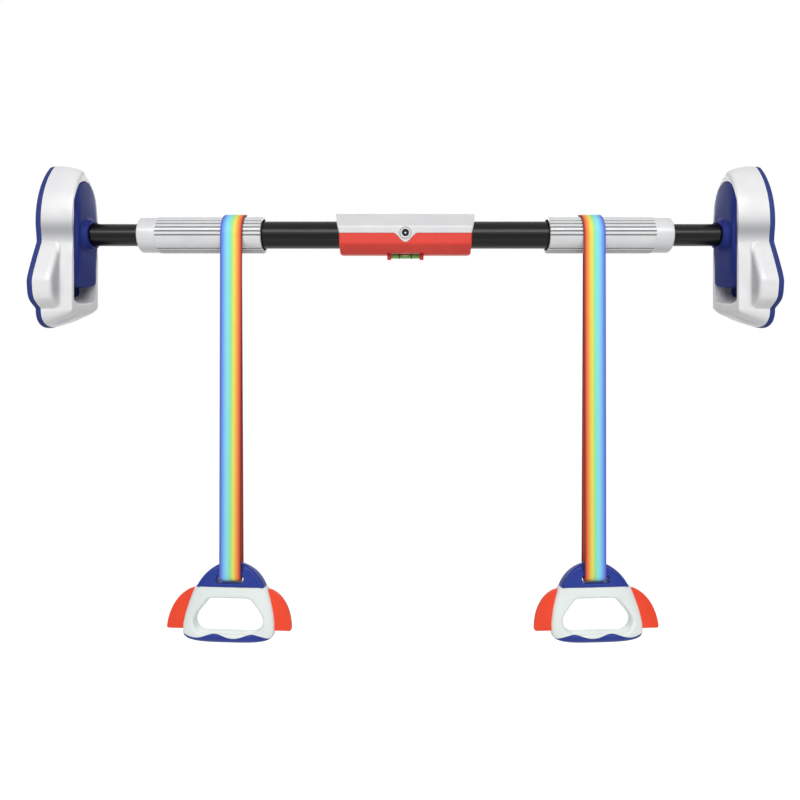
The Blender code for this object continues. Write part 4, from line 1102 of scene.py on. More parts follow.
@dataclass
class Foot(OneSide):
    """A wall foot: rubber pad, moulded shell with fins, wedge plate with collar, inner tube."""

    dome_top: float = 0.0799
    dome_level: float = 0.012
    dome_half: float = 0.029
    dome_power: float = 2.1
    wall_fullness: float = 0.85
    face_fullness: float = 0.62
    waist_level: float = -0.010
    waist_half: float = 0.027
    flank_half: float = 0.0288
    fin_half: float = 0.0446
    fin_level: float = -0.058
    fin_end: float = -0.085
    tail_drop: float = 0.0235
    tail_power: float = 2.4
    full_section: float = 0.009
    pad_top_fall: float = 0.0015
    top_fall_length: float = 0.034
    top_fall: float = 0.0125
    tail_slope: float = 0.22
    tail_fall_length: float = 0.042
    tail_fall: float = 0.0112
    pad: float = 0.006
    pad_round: float = 0.0012
    fin_depth: float = 0.0267
    fin_round: float = 0.0065
    fin_hollow: float = 0.0035
    face: float = 0.041
    face_round: float = 0.003
    wall: float = 0.0024
    cavity: float = 0.0095
    pocket_half: float = 0.0242
    undercut: float = 0.02
    pocket_top: float = 0.062
    pocket_arch: float = 0.030
    pocket_bottom: float = -0.080
    pocket_round: float = 0.008
    pocket_edge: float = 0.0006
    end_slope: float = 0.33
    ramp_depth: float = 0.021
    ramp_level: float = -0.070
    ramp_slope: float = math.radians(5)
    plate_foot: float = 0.012
    plate_bottom: float = -0.0615
    plate_corner: float = 0.005
    plate_edge: float = 0.0412
    plate_round: float = 0.0010
    plate_gap: float = 0.0005
    plate_points: int = 240
    crown: float = 0.0033
    collar_radius: float = 0.0168
    collar_depth: float = 0.0515
    collar_fillet: float = 0.0042
    tube_bore: float = 0.0133
    tube_inside: float = 0.0115
    tube_start: float = 0.0300
    tube_end: float = 0.228
    tube_edge: float = 0.0003
    groove_depth: float = 0.0024
    groove_offset: float = 0.0145
    groove_half: float = 0.0026
    groove_start: float = 0.009
    groove_ease: float = 0.008
    waist_inside: float = 0.0235
    # Painted shade on the shell: a band about the waist and the fins' inner face.
    waist_tone_level: float = 0.003
    waist_tone_reach: float = 0.0115
    waist_tone: float = 0.85
    step_tone_start: float = 0.0022
    step_tone_end: float = 0.0290
    step_tone: float = 0.62
    tread_levels: tuple[float, ...] = (-0.054, -0.042, -0.030, 0.024, 0.036, 0.048, -0.066, 0.060)
    tread_limit: float = 0.029
    tread_margin: float = 0.007
    tread_half: float = 0.00125
    tread_depth: float = 0.0012

    def top(self, depth: float) -> float:
        """Level of the dome's tip: it falls by a parabola to the wall and an ellipse to the face.

        Args:
            depth: Distance from the wall.

        Returns:
            The level.
        """
        full = self.full_section
        if depth < full:
            return self.dome_top - self.pad_top_fall * ((full - depth) / full) ** 2
        share = (depth - full) / self.top_fall_length
        return self.dome_top - self.top_fall * (1 - math.sqrt(1 - share**2))

    def bottom(self, depth: float) -> float:
        """Level of the tail's lowest point: a slope and an ellipse toward the face.

        Args:
            depth: Distance from the wall.

        Returns:
            The level.
        """
        share = min(1.0, depth / self.tail_fall_length)
        rise = self.tail_slope * depth + self.tail_fall * (1 - math.sqrt(1 - share**2))
        return self.fin_end - self.tail_drop + rise

    def fin_line(self) -> Array:
        """The fins' sweep as (level, width), a smooth curve through six points.

        Returns:
            The curve's points from the waist down.
        """
        sweep, drop = self.fin_half - self.waist_half, self.fin_level - self.waist_level
        end = self.fin_end - self.fin_level
        return smooth_through(np.array([
            (self.waist_level, self.waist_half),
            (self.waist_level + 0.40 * drop, self.waist_half + 0.50 * sweep),
            (self.waist_level + 0.80 * drop, self.fin_half - 0.06 * sweep),
            (self.fin_level, self.fin_half),
            (self.fin_level + 0.55 * end, self.fin_half - 0.18 * sweep),
            (self.fin_end - 0.04 * end, self.flank_half + 0.05 * sweep),
        ]), 12)

    def outline(self, depth: float, inset: float = 0.0, fins: float = 1.0, fin_inset: float = 0.0,
                end_inset: float = 0.0) -> Array:
        """The foot's outline at a depth from the wall.

        The dome's width is its half width times one less a power of the cosine, raised to
        a fullness that falls toward the face. The neck narrows to the waist, the flank is
        the wider of a straight side and the fins' sweep, and the tail is a superellipse.

        Args:
            depth: Distance from the wall.
            inset: How far the whole outline is drawn in.
            fins: The share of the fins' sweep.
            fin_inset: How far the fins alone are drawn in.
            end_inset: How far the tip and the tail alone are drawn in.

        Returns:
            The outline all round as (width, level).
        """
        top = self.top(depth) - inset - end_inset
        low = self.bottom(depth) + inset + end_inset
        fullness = self.wall_fullness + (self.face_fullness - self.wall_fullness) * depth / self.face
        share = np.cos(quarter(33))
        dome = points_of(self.dome_level + (top - self.dome_level) * share,
                         self.dome_half * rounded(share, self.dome_power, fullness))
        t = np.linspace(0, 1, 13)[1:-1]
        neck = points_of(self.dome_level + (self.waist_level - self.dome_level) * t,
                         self.dome_half - (self.dome_half - self.waist_half) * (3 * t**2 - 2 * t**3))
        level, sweep = self.fin_line().T
        fall = unit(2.5 * (level - self.waist_level) / (self.fin_level - self.waist_level))
        straight = self.waist_half + (self.flank_half - self.waist_half) * np.sin(np.pi / 2 * fall)
        swept = np.maximum(straight, sweep - fin_inset)
        flank = points_of(level, straight + (swept - straight) * fins)
        t = np.sin(quarter(28))
        tail = points_of(self.fin_end + (low - self.fin_end) * t,
                         self.flank_half * rounded(t, self.tail_power, 1 / self.tail_power))
        half = np.vstack([dome, neck, flank, tail])
        half[:, 1] = np.maximum(half[:, 1] / 3, half[:, 1] - inset)
        half[0], half[-1] = (top, 0.0), (low, 0.0)
        return whole(half)

    def arch(self, half_width: float, clearance: float) -> Array:
        """The arched top of the pocket or the plate as (level, width), a quarter ellipse.

        Args:
            half_width: Half the width at the arch's foot.
            clearance: How far below the pocket's own arch it stays.

        Returns:
            The points from the top down to one side.
        """
        t = quarter(41)[::-1]
        base = self.pocket_top - self.pocket_arch
        return points_of(base + (self.pocket_arch - clearance) * np.sin(t), half_width * np.cos(t))

    def pocket_width(self, depth: float) -> float:
        """Half the pocket's width, which grows toward the wall by its undercut."""
        return self.pocket_half + (self.face - depth) * self.undercut

    def pocket(self, depth: float, count: int, grow: float = 0.0) -> Array:
        """The pocket's outline at a depth: arch, straight sides and a rounded, sloping end.

        Args:
            depth: Distance from the wall.
            count: The points all round.
            grow: How far the outline is let out.

        Returns:
            The outline as (width, level).
        """
        width = self.pocket_width(depth) + grow
        low = self.pocket_bottom + self.pocket_round + (self.face - depth) * self.end_slope
        t = quarter(17)
        end = points_of(low - (self.pocket_round + grow) * np.sin(t), width * np.cos(t) ** 0.5)
        return spread(np.vstack([self.arch(width, -grow), end]), count)

    def at(self, outline: Array, depth: Array | float) -> Array:
        """An outline placed at a depth, as x, y, z in the foot's own frame."""
        return points_of(depth, outline[:, 0], outline[:, 1])

    def ring(self, depth: float, **insets: float) -> Array:
        """The foot's outline at a depth, placed there."""
        return self.at(self.outline(depth, **insets), depth)

    def shell_rings(self) -> Array:
        """The shell's rings from its back edge over the fins, flank and face into the pocket.

        The fins' edge and the face's edge are quarter circles of depth against inset. The
        fins' face runs straight in to the flank and ends in a hollow of squares.

        Returns:
            The rings, in the foot's own frame.
        """
        back, edge = self.pad + FIT, self.fin_depth - self.fin_round
        rings = [self.ring(back, inset=self.wall), self.ring(back)]
        rings += [self.ring(depth) for depth in np.linspace(0.0085, edge, 8)]
        for turn in quarter(9)[1:]:
            depth = self.fin_depth - self.fin_round * (1 - math.sin(turn))
            rings.append(self.ring(depth, fin_inset=self.fin_round * (1 - math.cos(turn))))
        for share in (0.85, 0.7, 0.5, 0.3, 0.2, 0.1, 0.04, 0.0):
            rise = self.fin_hollow * max(0.0, 1 - share / 0.3) ** 2
            depth = self.fin_depth + 0.0004 * (1 - share) + rise
            rings.append(self.ring(depth, fins=share, fin_inset=self.fin_round))
        start = self.face - self.face_round
        rings += [self.ring(depth, fins=0) for depth in np.linspace(0.0325, start, 4)]
        for turn in quarter(8)[1:]:
            inward = 1 - math.cos(turn)
            depth = start + self.face_round * math.sin(turn)
            rings.append(self.ring(depth, inset=0.0012 * inward, fins=0, end_inset=self.face_round * inward))
        last, count = rings[-1], len(rings[-1])
        rim = self.at(self.pocket(self.face, count, self.pocket_edge), self.face)
        rings += [last * (1 - share) + rim * share for share in (0.2, 0.5, 0.8, 1.0)]
        for turn in quarter(4)[1:]:
            depth = self.face - self.pocket_edge * (1 - math.cos(turn))
            grow = self.pocket_edge * (1 - math.sin(turn))
            rings.append(self.at(self.pocket(depth, count, grow), depth))
        rings += [self.at(self.pocket(depth, count), depth)
                  for depth in (0.034, 0.027, 0.020, 0.014, self.cavity)]
        wide, level = self.outline(self.cavity, self.wall).T
        narrow = points_of(np.clip(wide, -self.waist_inside, self.waist_inside), level) * 0.99
        rings += [self.at(narrow, self.cavity), self.ring(self.cavity, inset=self.wall)]
        return np.stack(rings)

    def grooved(self, rings: Array) -> Array:
        """Presses two shallow grooves along X into the tail, either side of its middle.

        Args:
            rings: The shell's rings.

        Returns:
            The same rings with the grooves in them.
        """
        x, y, z = np.moveaxis(rings, -1, 0)
        past_edge = unit((x - self.groove_start) / self.groove_ease)
        band = past_edge * np.exp(-(((np.abs(y) - self.groove_offset) / self.groove_half) ** 2))
        below = unit((self.fin_end - z) / 0.010) ** 2
        return points_of(x, y, z + self.groove_depth * band * below)

    def tone(self, rings: Array) -> Array:
        """Painted shade for each point: a bell about the waist and a share of the fins' inner face, where
        shade falls.

        Args:
            rings: The shell's rings.

        Returns:
            A share of painted shade from 0 to 1 for each point.
        """
        depth, level = rings[..., 0], rings[..., 2]
        waist = np.exp(-(((level - self.waist_tone_level) / self.waist_tone_reach) ** 2))
        start = self.step_tone_start
        step = unit((depth - self.fin_depth + start) / start) * unit((self.step_tone_end - depth) / 0.0012)
        along = unit((self.waist_level - level) / 0.012) * unit((level - self.fin_end) / 0.02)
        return unit(np.maximum(self.waist_tone * waist, self.step_tone * step * along))

    def build_shell(self) -> None:
        """Builds the shell and finishes the solids in and behind it."""
        named = self.named
        rings = self.shell_rings()
        rings[1:] = self.grooved(rings[1:])
        surface = self.side.from_wall(rings)
        # The shell takes painted shade at its waist and on the fins' inner face.
        shell = skin(named("moulded_shell"), surface, True, MOULDED_CREASE, self.tone(rings))
        self.put(shell, PEARL, "foot", "pearl_white_plastic", "foot_shell")
        dress(ROYAL, named("foot_base"))
        dress(ZINC, *map(named, ("foot_screw_upper", "foot_screw_lower", "hub_bolt", "lead_screw")))
        dress(NYLON, named("screw_plug"), named("end_plug"))

    def build_pad(self) -> None:
        """Builds the rubber pad: the foot's outline with both edges rounded, and tread slots."""
        line, soft = self.outline(0.0), self.pad_round
        rings = [self.ring(0.0, inset=soft)]
        for turn in quarter(5)[1:]:
            up, over = math.sin(turn), 1 - math.cos(turn)
            rings.append(self.at(self.outline(soft * up, soft * (1 - up)), soft * over))
        rings += [self.ring(0.003), self.ring(self.pad - 0.0006), self.ring(self.pad, inset=0.0004)]
        pad = skin(self.named("rubber_pad"), self.side.from_wall(np.stack(rings)), crease=MOULDED_CREASE)
        tools = []
        wide, level = line[: len(line) // 2][::-1].T
        for middle in self.tread_levels:
            reach = min(self.tread_limit, float(np.interp(middle, level, wide))) - self.tread_margin
            ends = np.array([(-0.001, -reach, middle - self.tread_half),
                             (self.tread_depth, reach, middle + self.tread_half)])
            tools.append(block("tread_tool", *self.side.from_wall(ends)))
        combine(pad, tools, Keep.OUTSIDE, MOULDED_CREASE)
        self.put(pad, RUBBER, "foot", "royal_blue_rubber", "pad")

    def ramp(self, level: Array) -> Array:
        """Depth of the ramp's surface at each level: a straight slope."""
        return self.ramp_depth - (level - self.ramp_level) * math.tan(self.ramp_slope)

    def plate(self, depth: float, inset: float = 0.0) -> Array:
        """The hub plate's outline: the pocket's arch and a blunt point at its lower end.

        Args:
            depth: Distance from the wall.
            inset: How far the outline is drawn in.

        Returns:
            The outline as (width, level).
        """
        width = self.pocket_width(depth) - self.plate_gap - inset
        low, corner = self.plate_bottom + inset, self.plate_corner
        end = smooth_through(np.array([
            (low + corner + 0.004, width), (low + corner, width - 0.0008),
            (low + corner / 2, width - corner), (low + corner / 4, width / 2), (low, 0.0),
        ]), 6)
        return spread(np.vstack([self.arch(width, self.plate_gap + inset), end]), self.plate_points)

    def circle(self, radius: float, depth: float) -> Array:
        """A circle about the tube with as many points as the plate, its first one on top.

        Args:
            radius: Its radius.
            depth: Distance from the wall.

        Returns:
            The circle's points.
        """
        half = np.linspace(0, np.pi, self.plate_points // 2 + 1)
        angle = np.concatenate([half, -half[-2:0:-1]])
        return points_of(depth, radius * np.sin(angle), radius * np.cos(angle))

    def build_hub(self) -> None:
        """Builds the plate that slides in the pocket, crowned up to the tube's collar."""
        low_ring = self.plate(self.plate_foot)
        edge, end, fillet = self.plate_edge, self.collar_depth, self.collar_fillet
        rings = [self.at(low_ring, self.ramp(low_ring[:, 1]) + FIT)]
        rings += [self.at(self.plate(depth), depth) for depth in (0.030, 0.036, edge - self.plate_round)]
        for turn in quarter(5)[1:]:
            outline = self.plate(edge, self.plate_round * (1 - math.cos(turn)))
            rings.append(self.at(outline, edge - self.plate_round * (1 - math.sin(turn))))
        last, face, wide = rings[-1], edge + self.crown, self.collar_radius + fillet
        for share in (0.06, 0.14, 0.25, 0.4, 0.55, 0.7, 0.85, 1.0):
            blend = last * (1 - share) + self.circle(wide, face) * share
            blend[:, 0] = edge + self.crown * (1 - (1 - share) ** 2)
            rings.append(blend)
        rings += [self.circle(wide - fillet * math.sin(turn), face + fillet * (1 - math.cos(turn)))
                  for turn in quarter(8)[1:]]
        rings.append(self.circle(self.collar_radius, end - 0.0022))
        lip = rounded_step((end - 0.003, self.collar_radius), (end, self.collar_radius), (end, 0.013), 0.0011)
        rings += [self.circle(radius, depth) for depth, radius in lip.tolist()]
        rings += [self.circle(self.tube_bore + 0.0006, end), self.circle(self.tube_bore, end - 0.0006),
                  self.circle(self.tube_bore, self.tube_start), self.circle(0.004, self.tube_start)]
        hub = skin(self.named("hub"), self.side.from_wall(np.stack(rings)), crease=MOULDED_CREASE)
        self.put(hub, ROYAL, "arm", "royal_blue_plastic", "hub_plate")

    def build_tube(self) -> None:
        """Builds the inner tube that telescopes in the grip's end."""
        profile = sleeve(self.tube_start + FIT, self.tube_end, self.tube_inside, self.tube_bore - FIT,
                         self.tube_edge)
        tube = skin(self.named("telescope"), self.side.from_wall(revolved(profile)), True)
        self.put(tube, ENAMEL, "arm", "black_gloss_steel", "inner_tube")

    def build(self) -> None:
        """Builds the whole foot."""
        self.build_pad()
        self.build_shell()
        self.build_hub()
        self.build_tube()


# Straps and handles


@dataclass
class Strap(OneSide):
    """The endless webbing loop that hangs a handle from its grip."""

    offset: float
    width: float = 0.025
    thickness: float = 0.0016
    top_radius: float = 0.0218
    bend_radius: float = 0.0092
    turn_power: float = 3.2
    selvedge_power: float = 12
    drop: float = 0.3910
    front_shift: float = -0.0042
    back_shift: float = 0.0085
    low_front_shift: float = 0.0008
    low_back_shift: float = 0.0030

    def shifts(self, path: Array) -> Array:
        """How far outboard each point of the path lies.

        Over the top it eases from the back's shift to the front's, by the share of the
        turn raised to a power and smoothed. Down the runs it goes in a straight line to
        the lower shifts, which blend across the bend.

        Args:
            path: The loop's points as (y, z).

        Returns:
            A distance for each point.
        """
        y, z = path.T
        turn = unit(np.arctan2(np.maximum(z, 0.0), y) / np.pi)
        share = (1 - turn) ** self.turn_power
        ease = share**2 * (3 - 2 * share)
        over = self.front_shift + (self.back_shift - self.front_shift) * ease
        behind = unit(0.5 + y / (2 * self.bend_radius))
        under = self.low_front_shift + (self.low_back_shift - self.low_front_shift) * behind
        height = unit(1 + z / self.drop)
        return over * height + under * (1 - height)

    def path(self, outward: float) -> Array:
        """The loop seen along X as (y, z): arcs over the grip and under the bridge, and two tangents.

        Args:
            outward: How far outside the loop's inner face the path runs.

        Returns:
            The path's points, once round.
        """
        top, low = self.top_radius + outward, self.bend_radius + outward
        lean = math.asin((top - low) / self.drop)
        over = np.linspace(-lean, np.pi + lean, 97)
        under = np.linspace(np.pi + lean, TURN - lean, 49)
        share = np.linspace(0, 1, 121)[1:-1, None]
        arc = points_of(top * np.cos(over), top * np.sin(over))
        foot = points_of(low * np.cos(under), -self.drop + low * np.sin(under))
        down = arc[-1] * (1 - share) + foot[0] * share
        up = foot[-1] * (1 - share) + arc[0] * share
        return np.vstack([arc, down, foot, up])

    def section(self) -> tuple[Array, Array]:
        """The webbing's cross-section: two faces that thin out toward rounded selvedges.

        Returns:
            For each point its place across from -1 to 1, and its share of the thickness.
        """
        across = np.sin(np.linspace(-np.pi / 2, np.pi / 2, 27))
        swell = 0.47 * rounded(np.abs(across), self.selvedge_power, 0.5)
        return (np.concatenate([across, across[-2:0:-1]]),
                np.concatenate([0.5 + swell, (0.5 - swell)[-2:0:-1]]))

    def build(self) -> None:
        across, mix = self.section()
        near, far = self.path(0.0)[:, None, :], self.path(self.thickness)[:, None, :]
        line = near * (1 - mix[:, None]) + far * mix[:, None]
        middle = (near + far)[:, 0, :] / 2
        x = self.offset + self.shifts(middle)[:, None] + across * self.width / 2
        band = self.side.along(points_of(x, line[..., 0], line[..., 1]))
        steps = np.linalg.norm(np.diff(np.vstack([middle, middle[:1]]), axis=0), axis=1)
        walked = np.concatenate([[0.0], np.cumsum(steps)])
        rows, count, _ = band.shape
        faces = grid_faces(rows, count, True)
        first = np.arange(len(faces))[:, None] // count
        along = np.where(faces // count == first, walked[first], walked[first + 1])
        cloth = points_of(1 - (across[faces % count] + 1) / 2, along)
        obj = make(self.named("webbing"), band.reshape(-1, 3), faces.tolist(), 60, cloth=cloth)
        self.put(obj, RAINBOW, "loop", "rainbow_webbing", "strap")
        self.named("fluted_grip")
        LOG.info("%s loop: %.4f m long", self.side.word, walked[-1])


@dataclass
class Handle(OneSide):
    """The rocket handle: nose with the strap's slot, body round the hand opening, base, wings."""

    offset: float
    drop: float = 0.3865
    lean: float = math.radians(12)
    yaw: float = math.radians(2.8)
    bridge: float = 0.0040
    bridge_level: float = -0.0064
    slot_bottom: float = -0.0158
    slot_half: float = 0.0158
    slot_shift: float = 0.0012
    slot_round: float = 0.0022
    slot_flare: float = 0.0009
    arc_radius: float = 0.0429
    arc_centre: float = -0.0362
    nose_base: float = -0.0194
    nose_half: float = 0.0025
    pivot_half: float = 0.0053
    base_half: float = 0.0082
    nose_round: float = 0.0018
    rim_width: float = 0.0050
    rim_rise: float = 0.0010
    top_half_width: float = 0.042
    half_width: float = 0.0527
    widest: float = -0.0600
    bottom: float = -0.0790
    top_thickness: float = 0.0088
    full_thickness: float = 0.0100
    flare_power: float = 1.45
    swell_power: float = 1.5
    side_power: float = 3.33
    opening_round: float = 0.004
    wave_level: float = -0.0706
    wave_height: float = 0.0022
    wave_length: float = 0.0435
    wave_crest: float = 0.0142
    wave_reach: float = 0.062
    wing_centre: tuple[float, float] = (0.038, -0.0650)
    wing_reach: tuple[float, float] = (0.0340, 0.0437)
    wing_sweep: tuple[float, float] = (80.0, 3.0)
    wing_thickness: float = 0.005
    wing_round: float = 0.0009
    wing_foot: float = -0.0655
    wing_corner: float = 0.0028

    def hang(self, points: Array) -> Array:
        """Leans points given about the strap's pivot, their foot to the front, turns and places them.

        Args:
            points: The points to place.

        Returns:
            The points in the bar's frame.
        """
        x, y, z = np.moveaxis(points, -1, 0)
        cos, sin = math.cos(self.lean), math.sin(self.lean)
        y, z = cos * y + sin * z, cos * z - sin * y
        cos, sin = math.cos(self.yaw), math.sin(self.yaw)
        return self.side.along(points_of(cos * x - sin * y + self.offset, sin * x + cos * y, z - self.drop))

    def nose_thickness(self, level: Array) -> Array:
        """Half the nose's thickness: straight from its tip to the pivot and on to its base.

        Args:
            level: The levels, in the handle's own frame.

        Returns:
            Half the thickness at each.
        """
        tip = self.arc_centre + self.arc_radius
        above = self.pivot_half - (self.pivot_half - self.nose_half) * level / tip
        below = self.pivot_half + (self.base_half - self.pivot_half) * level / self.nose_base
        return np.where(level > 0, above, below)

    def nose_outline(self, count: int) -> Array:
        """The nose's outline: a circle's cap on a straight base.

        Args:
            count: The points all round.

        Returns:
            The outline as (width, level).
        """
        t = np.linspace(np.pi / 2, math.asin((self.nose_base - self.arc_centre) / self.arc_radius), 121)
        half = points_of(self.arc_centre + self.arc_radius * np.sin(t), self.arc_radius * np.cos(t))
        return spread(np.vstack([half, [(self.nose_base, 0.0)]]), count)

    def slot_outline(self, top: float, grow: float, count: int) -> Array:
        """The slot's outline: a rectangle with round ends, its top at a given level.

        Args:
            top: The level of its top.
            grow: How far the outline is let out.
            count: The points all round.

        Returns:
            The outline as (width, level).
        """
        low, wide = self.slot_bottom - grow, self.slot_half + grow
        radius = min(self.slot_round + grow, (top - low) / 2 - 0.0001)
        t = quarter(9)[::-1]
        upper = points_of(top - radius + radius * np.sin(t), wide - radius + radius * np.cos(t))
        lower = points_of(low + radius - radius * np.cos(t), wide - radius + radius * np.sin(t))
        half = np.vstack([[(top, 0.0)], upper, lower, [(low, 0.0)]])
        return spread(half, count) + np.array([self.slot_shift, 0.0])

    def nose_face(self, points: Array) -> Array:
        """The nose's front at (x, level): thickness by level, a raised rim along the arc, a round edge.

        Args:
            points: The places, as (x, level).

        Returns:
            The points of the front there.
        """
        x, z = points.T
        inward = self.arc_radius - np.hypot(x, z - self.arc_centre)
        edge = unit(inward / self.nose_round)
        round_edge = rounded(1 - edge, 2, 0.5)
        half_rim = self.rim_width * 0.5
        ridge = unit(1 - np.abs(inward - half_rim) / half_rim) ** 0.6
        rim = self.rim_rise * ridge * unit(-z / 0.006) * edge
        return points_of(x, -(self.nose_thickness(z) * (0.35 + 0.65 * round_edge) + rim), z)

    def build_nose(self) -> None:
        """Builds the nose as a ring of surface from its rim over the front, through the slot and back."""
        count = 320
        outline, start = self.nose_outline(count), self.bridge_level
        mouth = self.slot_outline(start, self.slot_flare, count)
        shares = np.concatenate([np.linspace(0, 1, 20) ** 1.6 * 0.55, np.linspace(0.6, 1, 8)])
        rings = [self.nose_face(outline * (1 - share) + mouth * share) for share in shares]
        for turn in quarter(9)[1:]:
            grow = self.slot_flare * max(0.0, 1 - turn / 0.5) ** 2
            x, z = self.slot_outline(start - self.bridge * math.sin(turn), grow, count).T
            rings.append(points_of(x, -self.nose_thickness(np.minimum(z, start)) * math.cos(turn), z))
        front = np.stack(rings)
        loops = np.concatenate([front, front[::-1][1:] * TO_BACK])
        nose = skin(self.named("nose"), self.hang(loops), True, MOULDED_CREASE)
        self.put(nose, HANDLE_BLUE, "handle", "handle_blue_plastic", "handle_dome")

    @property
    def body_top(self) -> float:
        """Level of the body's straight top."""
        return self.nose_base - FIT

    def flare(self, level: Array) -> Array:
        """How far up from the body's widest level to its top each level lies, from 0 to 1."""
        return unit((level - self.widest) / (self.body_top - self.widest))

    def body_width(self, level: Array) -> Array:
        """Half the body's width: it flares by a power down to its widest and rounds off below.

        Args:
            level: The levels, in the handle's own frame.

        Returns:
            Half the width at each.
        """
        narrowing = self.half_width - self.top_half_width
        upper = self.half_width - narrowing * self.flare(level) ** self.flare_power
        low = self.widest + (self.bottom - self.widest) * 0.15
        fall = unit((low - level) / (low - self.bottom))
        return np.where(level > low, upper, self.half_width * rounded(fall, 4, 1 / 3))

    def body_thickness(self, level: Array) -> Array:
        """Half the body's thickness, thinner at the nose and round at the bottom.

        Args:
            level: The levels, in the handle's own frame.

        Returns:
            Half the thickness at each.
        """
        thinning = self.full_thickness - self.top_thickness
        upper = self.full_thickness - thinning * self.flare(level) ** self.swell_power
        fall = unit((self.widest - level) / (self.widest - self.bottom))
        lower = self.full_thickness * rounded(fall, 3.5, 1 / 2.2)
        return np.where(level > self.widest, upper, lower)

    def body_depth(self, points: Array) -> Array:
        """Half the thickness at (width, level): the level's own times a superellipse of the place across.

        Args:
            points: The places, as (width, level).

        Returns:
            Half the thickness at each.
        """
        x, z = points.T
        share = np.abs(x) / np.maximum(self.body_width(z), 1e-5)
        return self.body_thickness(z) * rounded(unit(share), self.side_power, 0.3)

    def body_outline(self, count: int) -> Array:
        """The body's outline from its straight top round the sides to the bottom.

        Args:
            count: The points all round.

        Returns:
            The outline as (width, level).
        """
        top = self.body_top
        level = top + (self.bottom - top) * (1 - (1 - np.linspace(0, 1, 400)) ** 2)
        return spread(np.vstack([[(top, 0.0)], points_of(level, self.body_width(level))]), count)

    def opening(self, grow: float, count: int) -> Array:
        """The hand opening: a rounded trapezoid as a smooth curve through its corners.

        Args:
            grow: How far the outline is let out.
            count: The points all round.

        Returns:
            The outline as (width, level).
        """
        return spread(smooth_through(np.array([
            (-0.0319 + grow, 0.0), (-0.0319 + grow, 0.0185), (-0.0336 + 0.8 * grow, 0.0243 + 0.6 * grow),
            (-0.0375 + 0.6 * grow, 0.0283 + 0.8 * grow), (-0.0472 + 0.4 * grow, 0.0362 + 0.9 * grow),
            (-0.0530, 0.0391 + grow), (-0.0585, 0.0391 + grow), (-0.0638 - 0.6 * grow, 0.0358 + 0.8 * grow),
            (-0.0669 - 0.9 * grow, 0.0300 + 0.5 * grow), (-0.0675 - grow, 0.0240), (-0.0675 - grow, 0.0),
        ]), 18), count)

    def flask(self, name: str) -> bpy.types.Object:
        """The body and base in one, a flattened flask whose face drops to the opening by a quarter circle.

        Args:
            name: The new object's name.

        Returns:
            The new object, leaned and placed.
        """
        count, radius = 360, self.opening_round
        outline, lip = self.body_outline(count), self.opening(radius, count)
        shares = np.concatenate([np.linspace(0, 1, 22) ** 2.6 * 0.5, np.linspace(0.56, 1, 9)])
        rings = []
        for share in shares:
            flat = outline * (1 - share) + lip * share
            rings.append(points_of(flat[:, 0], -self.body_depth(flat), flat[:, 1]))
        full = self.body_depth(lip)
        for turn in quarter(8)[1:]:
            x, z = self.opening(radius * (1 - math.sin(turn)), count).T
            rings.append(points_of(x, -(full - radius * (1 - math.cos(turn))), z))
        front = np.stack(rings)
        return skin(name, self.hang(np.concatenate([front, front[::-1] * TO_BACK])), True, MOULDED_CREASE)

    def wave_tool(self, half: Half) -> bpy.types.Object:
        """A block with the wavy seam as its lower or upper side: a cosine along X.

        Args:
            half: The half that the block keeps.

        Returns:
            The block.
        """
        x = np.linspace(-self.wave_reach, self.wave_reach, 161)
        seam = self.wave_level + self.wave_height * np.cos(TURN * (x - self.wave_crest) / self.wave_length)
        far, gap = (-0.010, 0.0) if half is Half.UPPER else (-0.10, FIT)
        outline = np.vstack([points_of(x, seam - gap),
                             [(self.wave_reach, far), (-self.wave_reach, far)]])
        rings = points_of(outline[:, 0], np.array([[-0.03], [0.03]]), outline[:, 1])
        return skin("wave_tool", self.hang(rings))

    def build_body(self) -> None:
        """Builds the white body and the blue base, split along the wave."""
        for part, half, finish, slot in (
            ("body", Half.UPPER, HANDLE_WHITE, "handle_white_plastic"),
            ("base", Half.LOWER, HANDLE_BLUE, "handle_blue_plastic"),
        ):
            piece = self.flask(self.named(part))
            combine(piece, [self.wave_tool(half)], Keep.INSIDE, MOULDED_CREASE)
            self.put(piece, finish, "handle", slot, f"handle_{part}")

    def build_wing(self, wing: Wing) -> None:
        """Builds one wing: an ellipse's edge over a flat foot, its rim rounded by a quarter circle.

        Args:
            wing: Which of the two to build.
        """
        word = wing.name.lower()
        t = np.radians(np.linspace(*self.wing_sweep, 60))
        edge = np.array(self.wing_centre) + points_of(np.cos(t), np.sin(t)) * np.array(self.wing_reach)
        outer, foot = edge[-1, 0], self.wing_foot
        corner = rounded_step((outer, foot + 0.01), (outer, foot), (outer - 0.01, foot), self.wing_corner, 6)
        level = np.linspace(foot, edge[0, 1], 40)
        root = points_of(self.body_width(level) - 0.003, level)
        outline = even(np.vstack([edge[:-3], corner, root]), 220)
        run = np.roll(outline, -1, axis=0) - np.roll(outline, 1, axis=0)
        run /= np.linalg.norm(run, axis=1, keepdims=True)
        inward = points_of(run[:, 1], -run[:, 0])
        inward *= np.sign(np.mean(np.sum((outline.mean(axis=0) - outline) * inward, axis=1)))
        half, radius = self.wing_thickness / 2, self.wing_round
        rings = []
        for turn in quarter(6):
            flat = outline + inward * radius * (1 - math.sin(turn))
            depth = -half + radius * (1 - math.cos(turn))
            rings.append(points_of(flat[:, 0] * wing.value, depth, flat[:, 1]))
        rings += [ring * TO_BACK for ring in reversed(rings)]
        piece = skin(self.named(f"{word}_wing"), self.hang(np.stack(rings)), crease=MOULDED_CREASE)
        self.put(piece, WING_ORANGE, "handle", "fin_orange_plastic", f"fin_{word}")

    def build(self) -> None:
        """Builds the whole handle."""
        self.build_nose()
        self.build_body()
        for wing in Wing:
            self.build_wing(wing)


# The studio


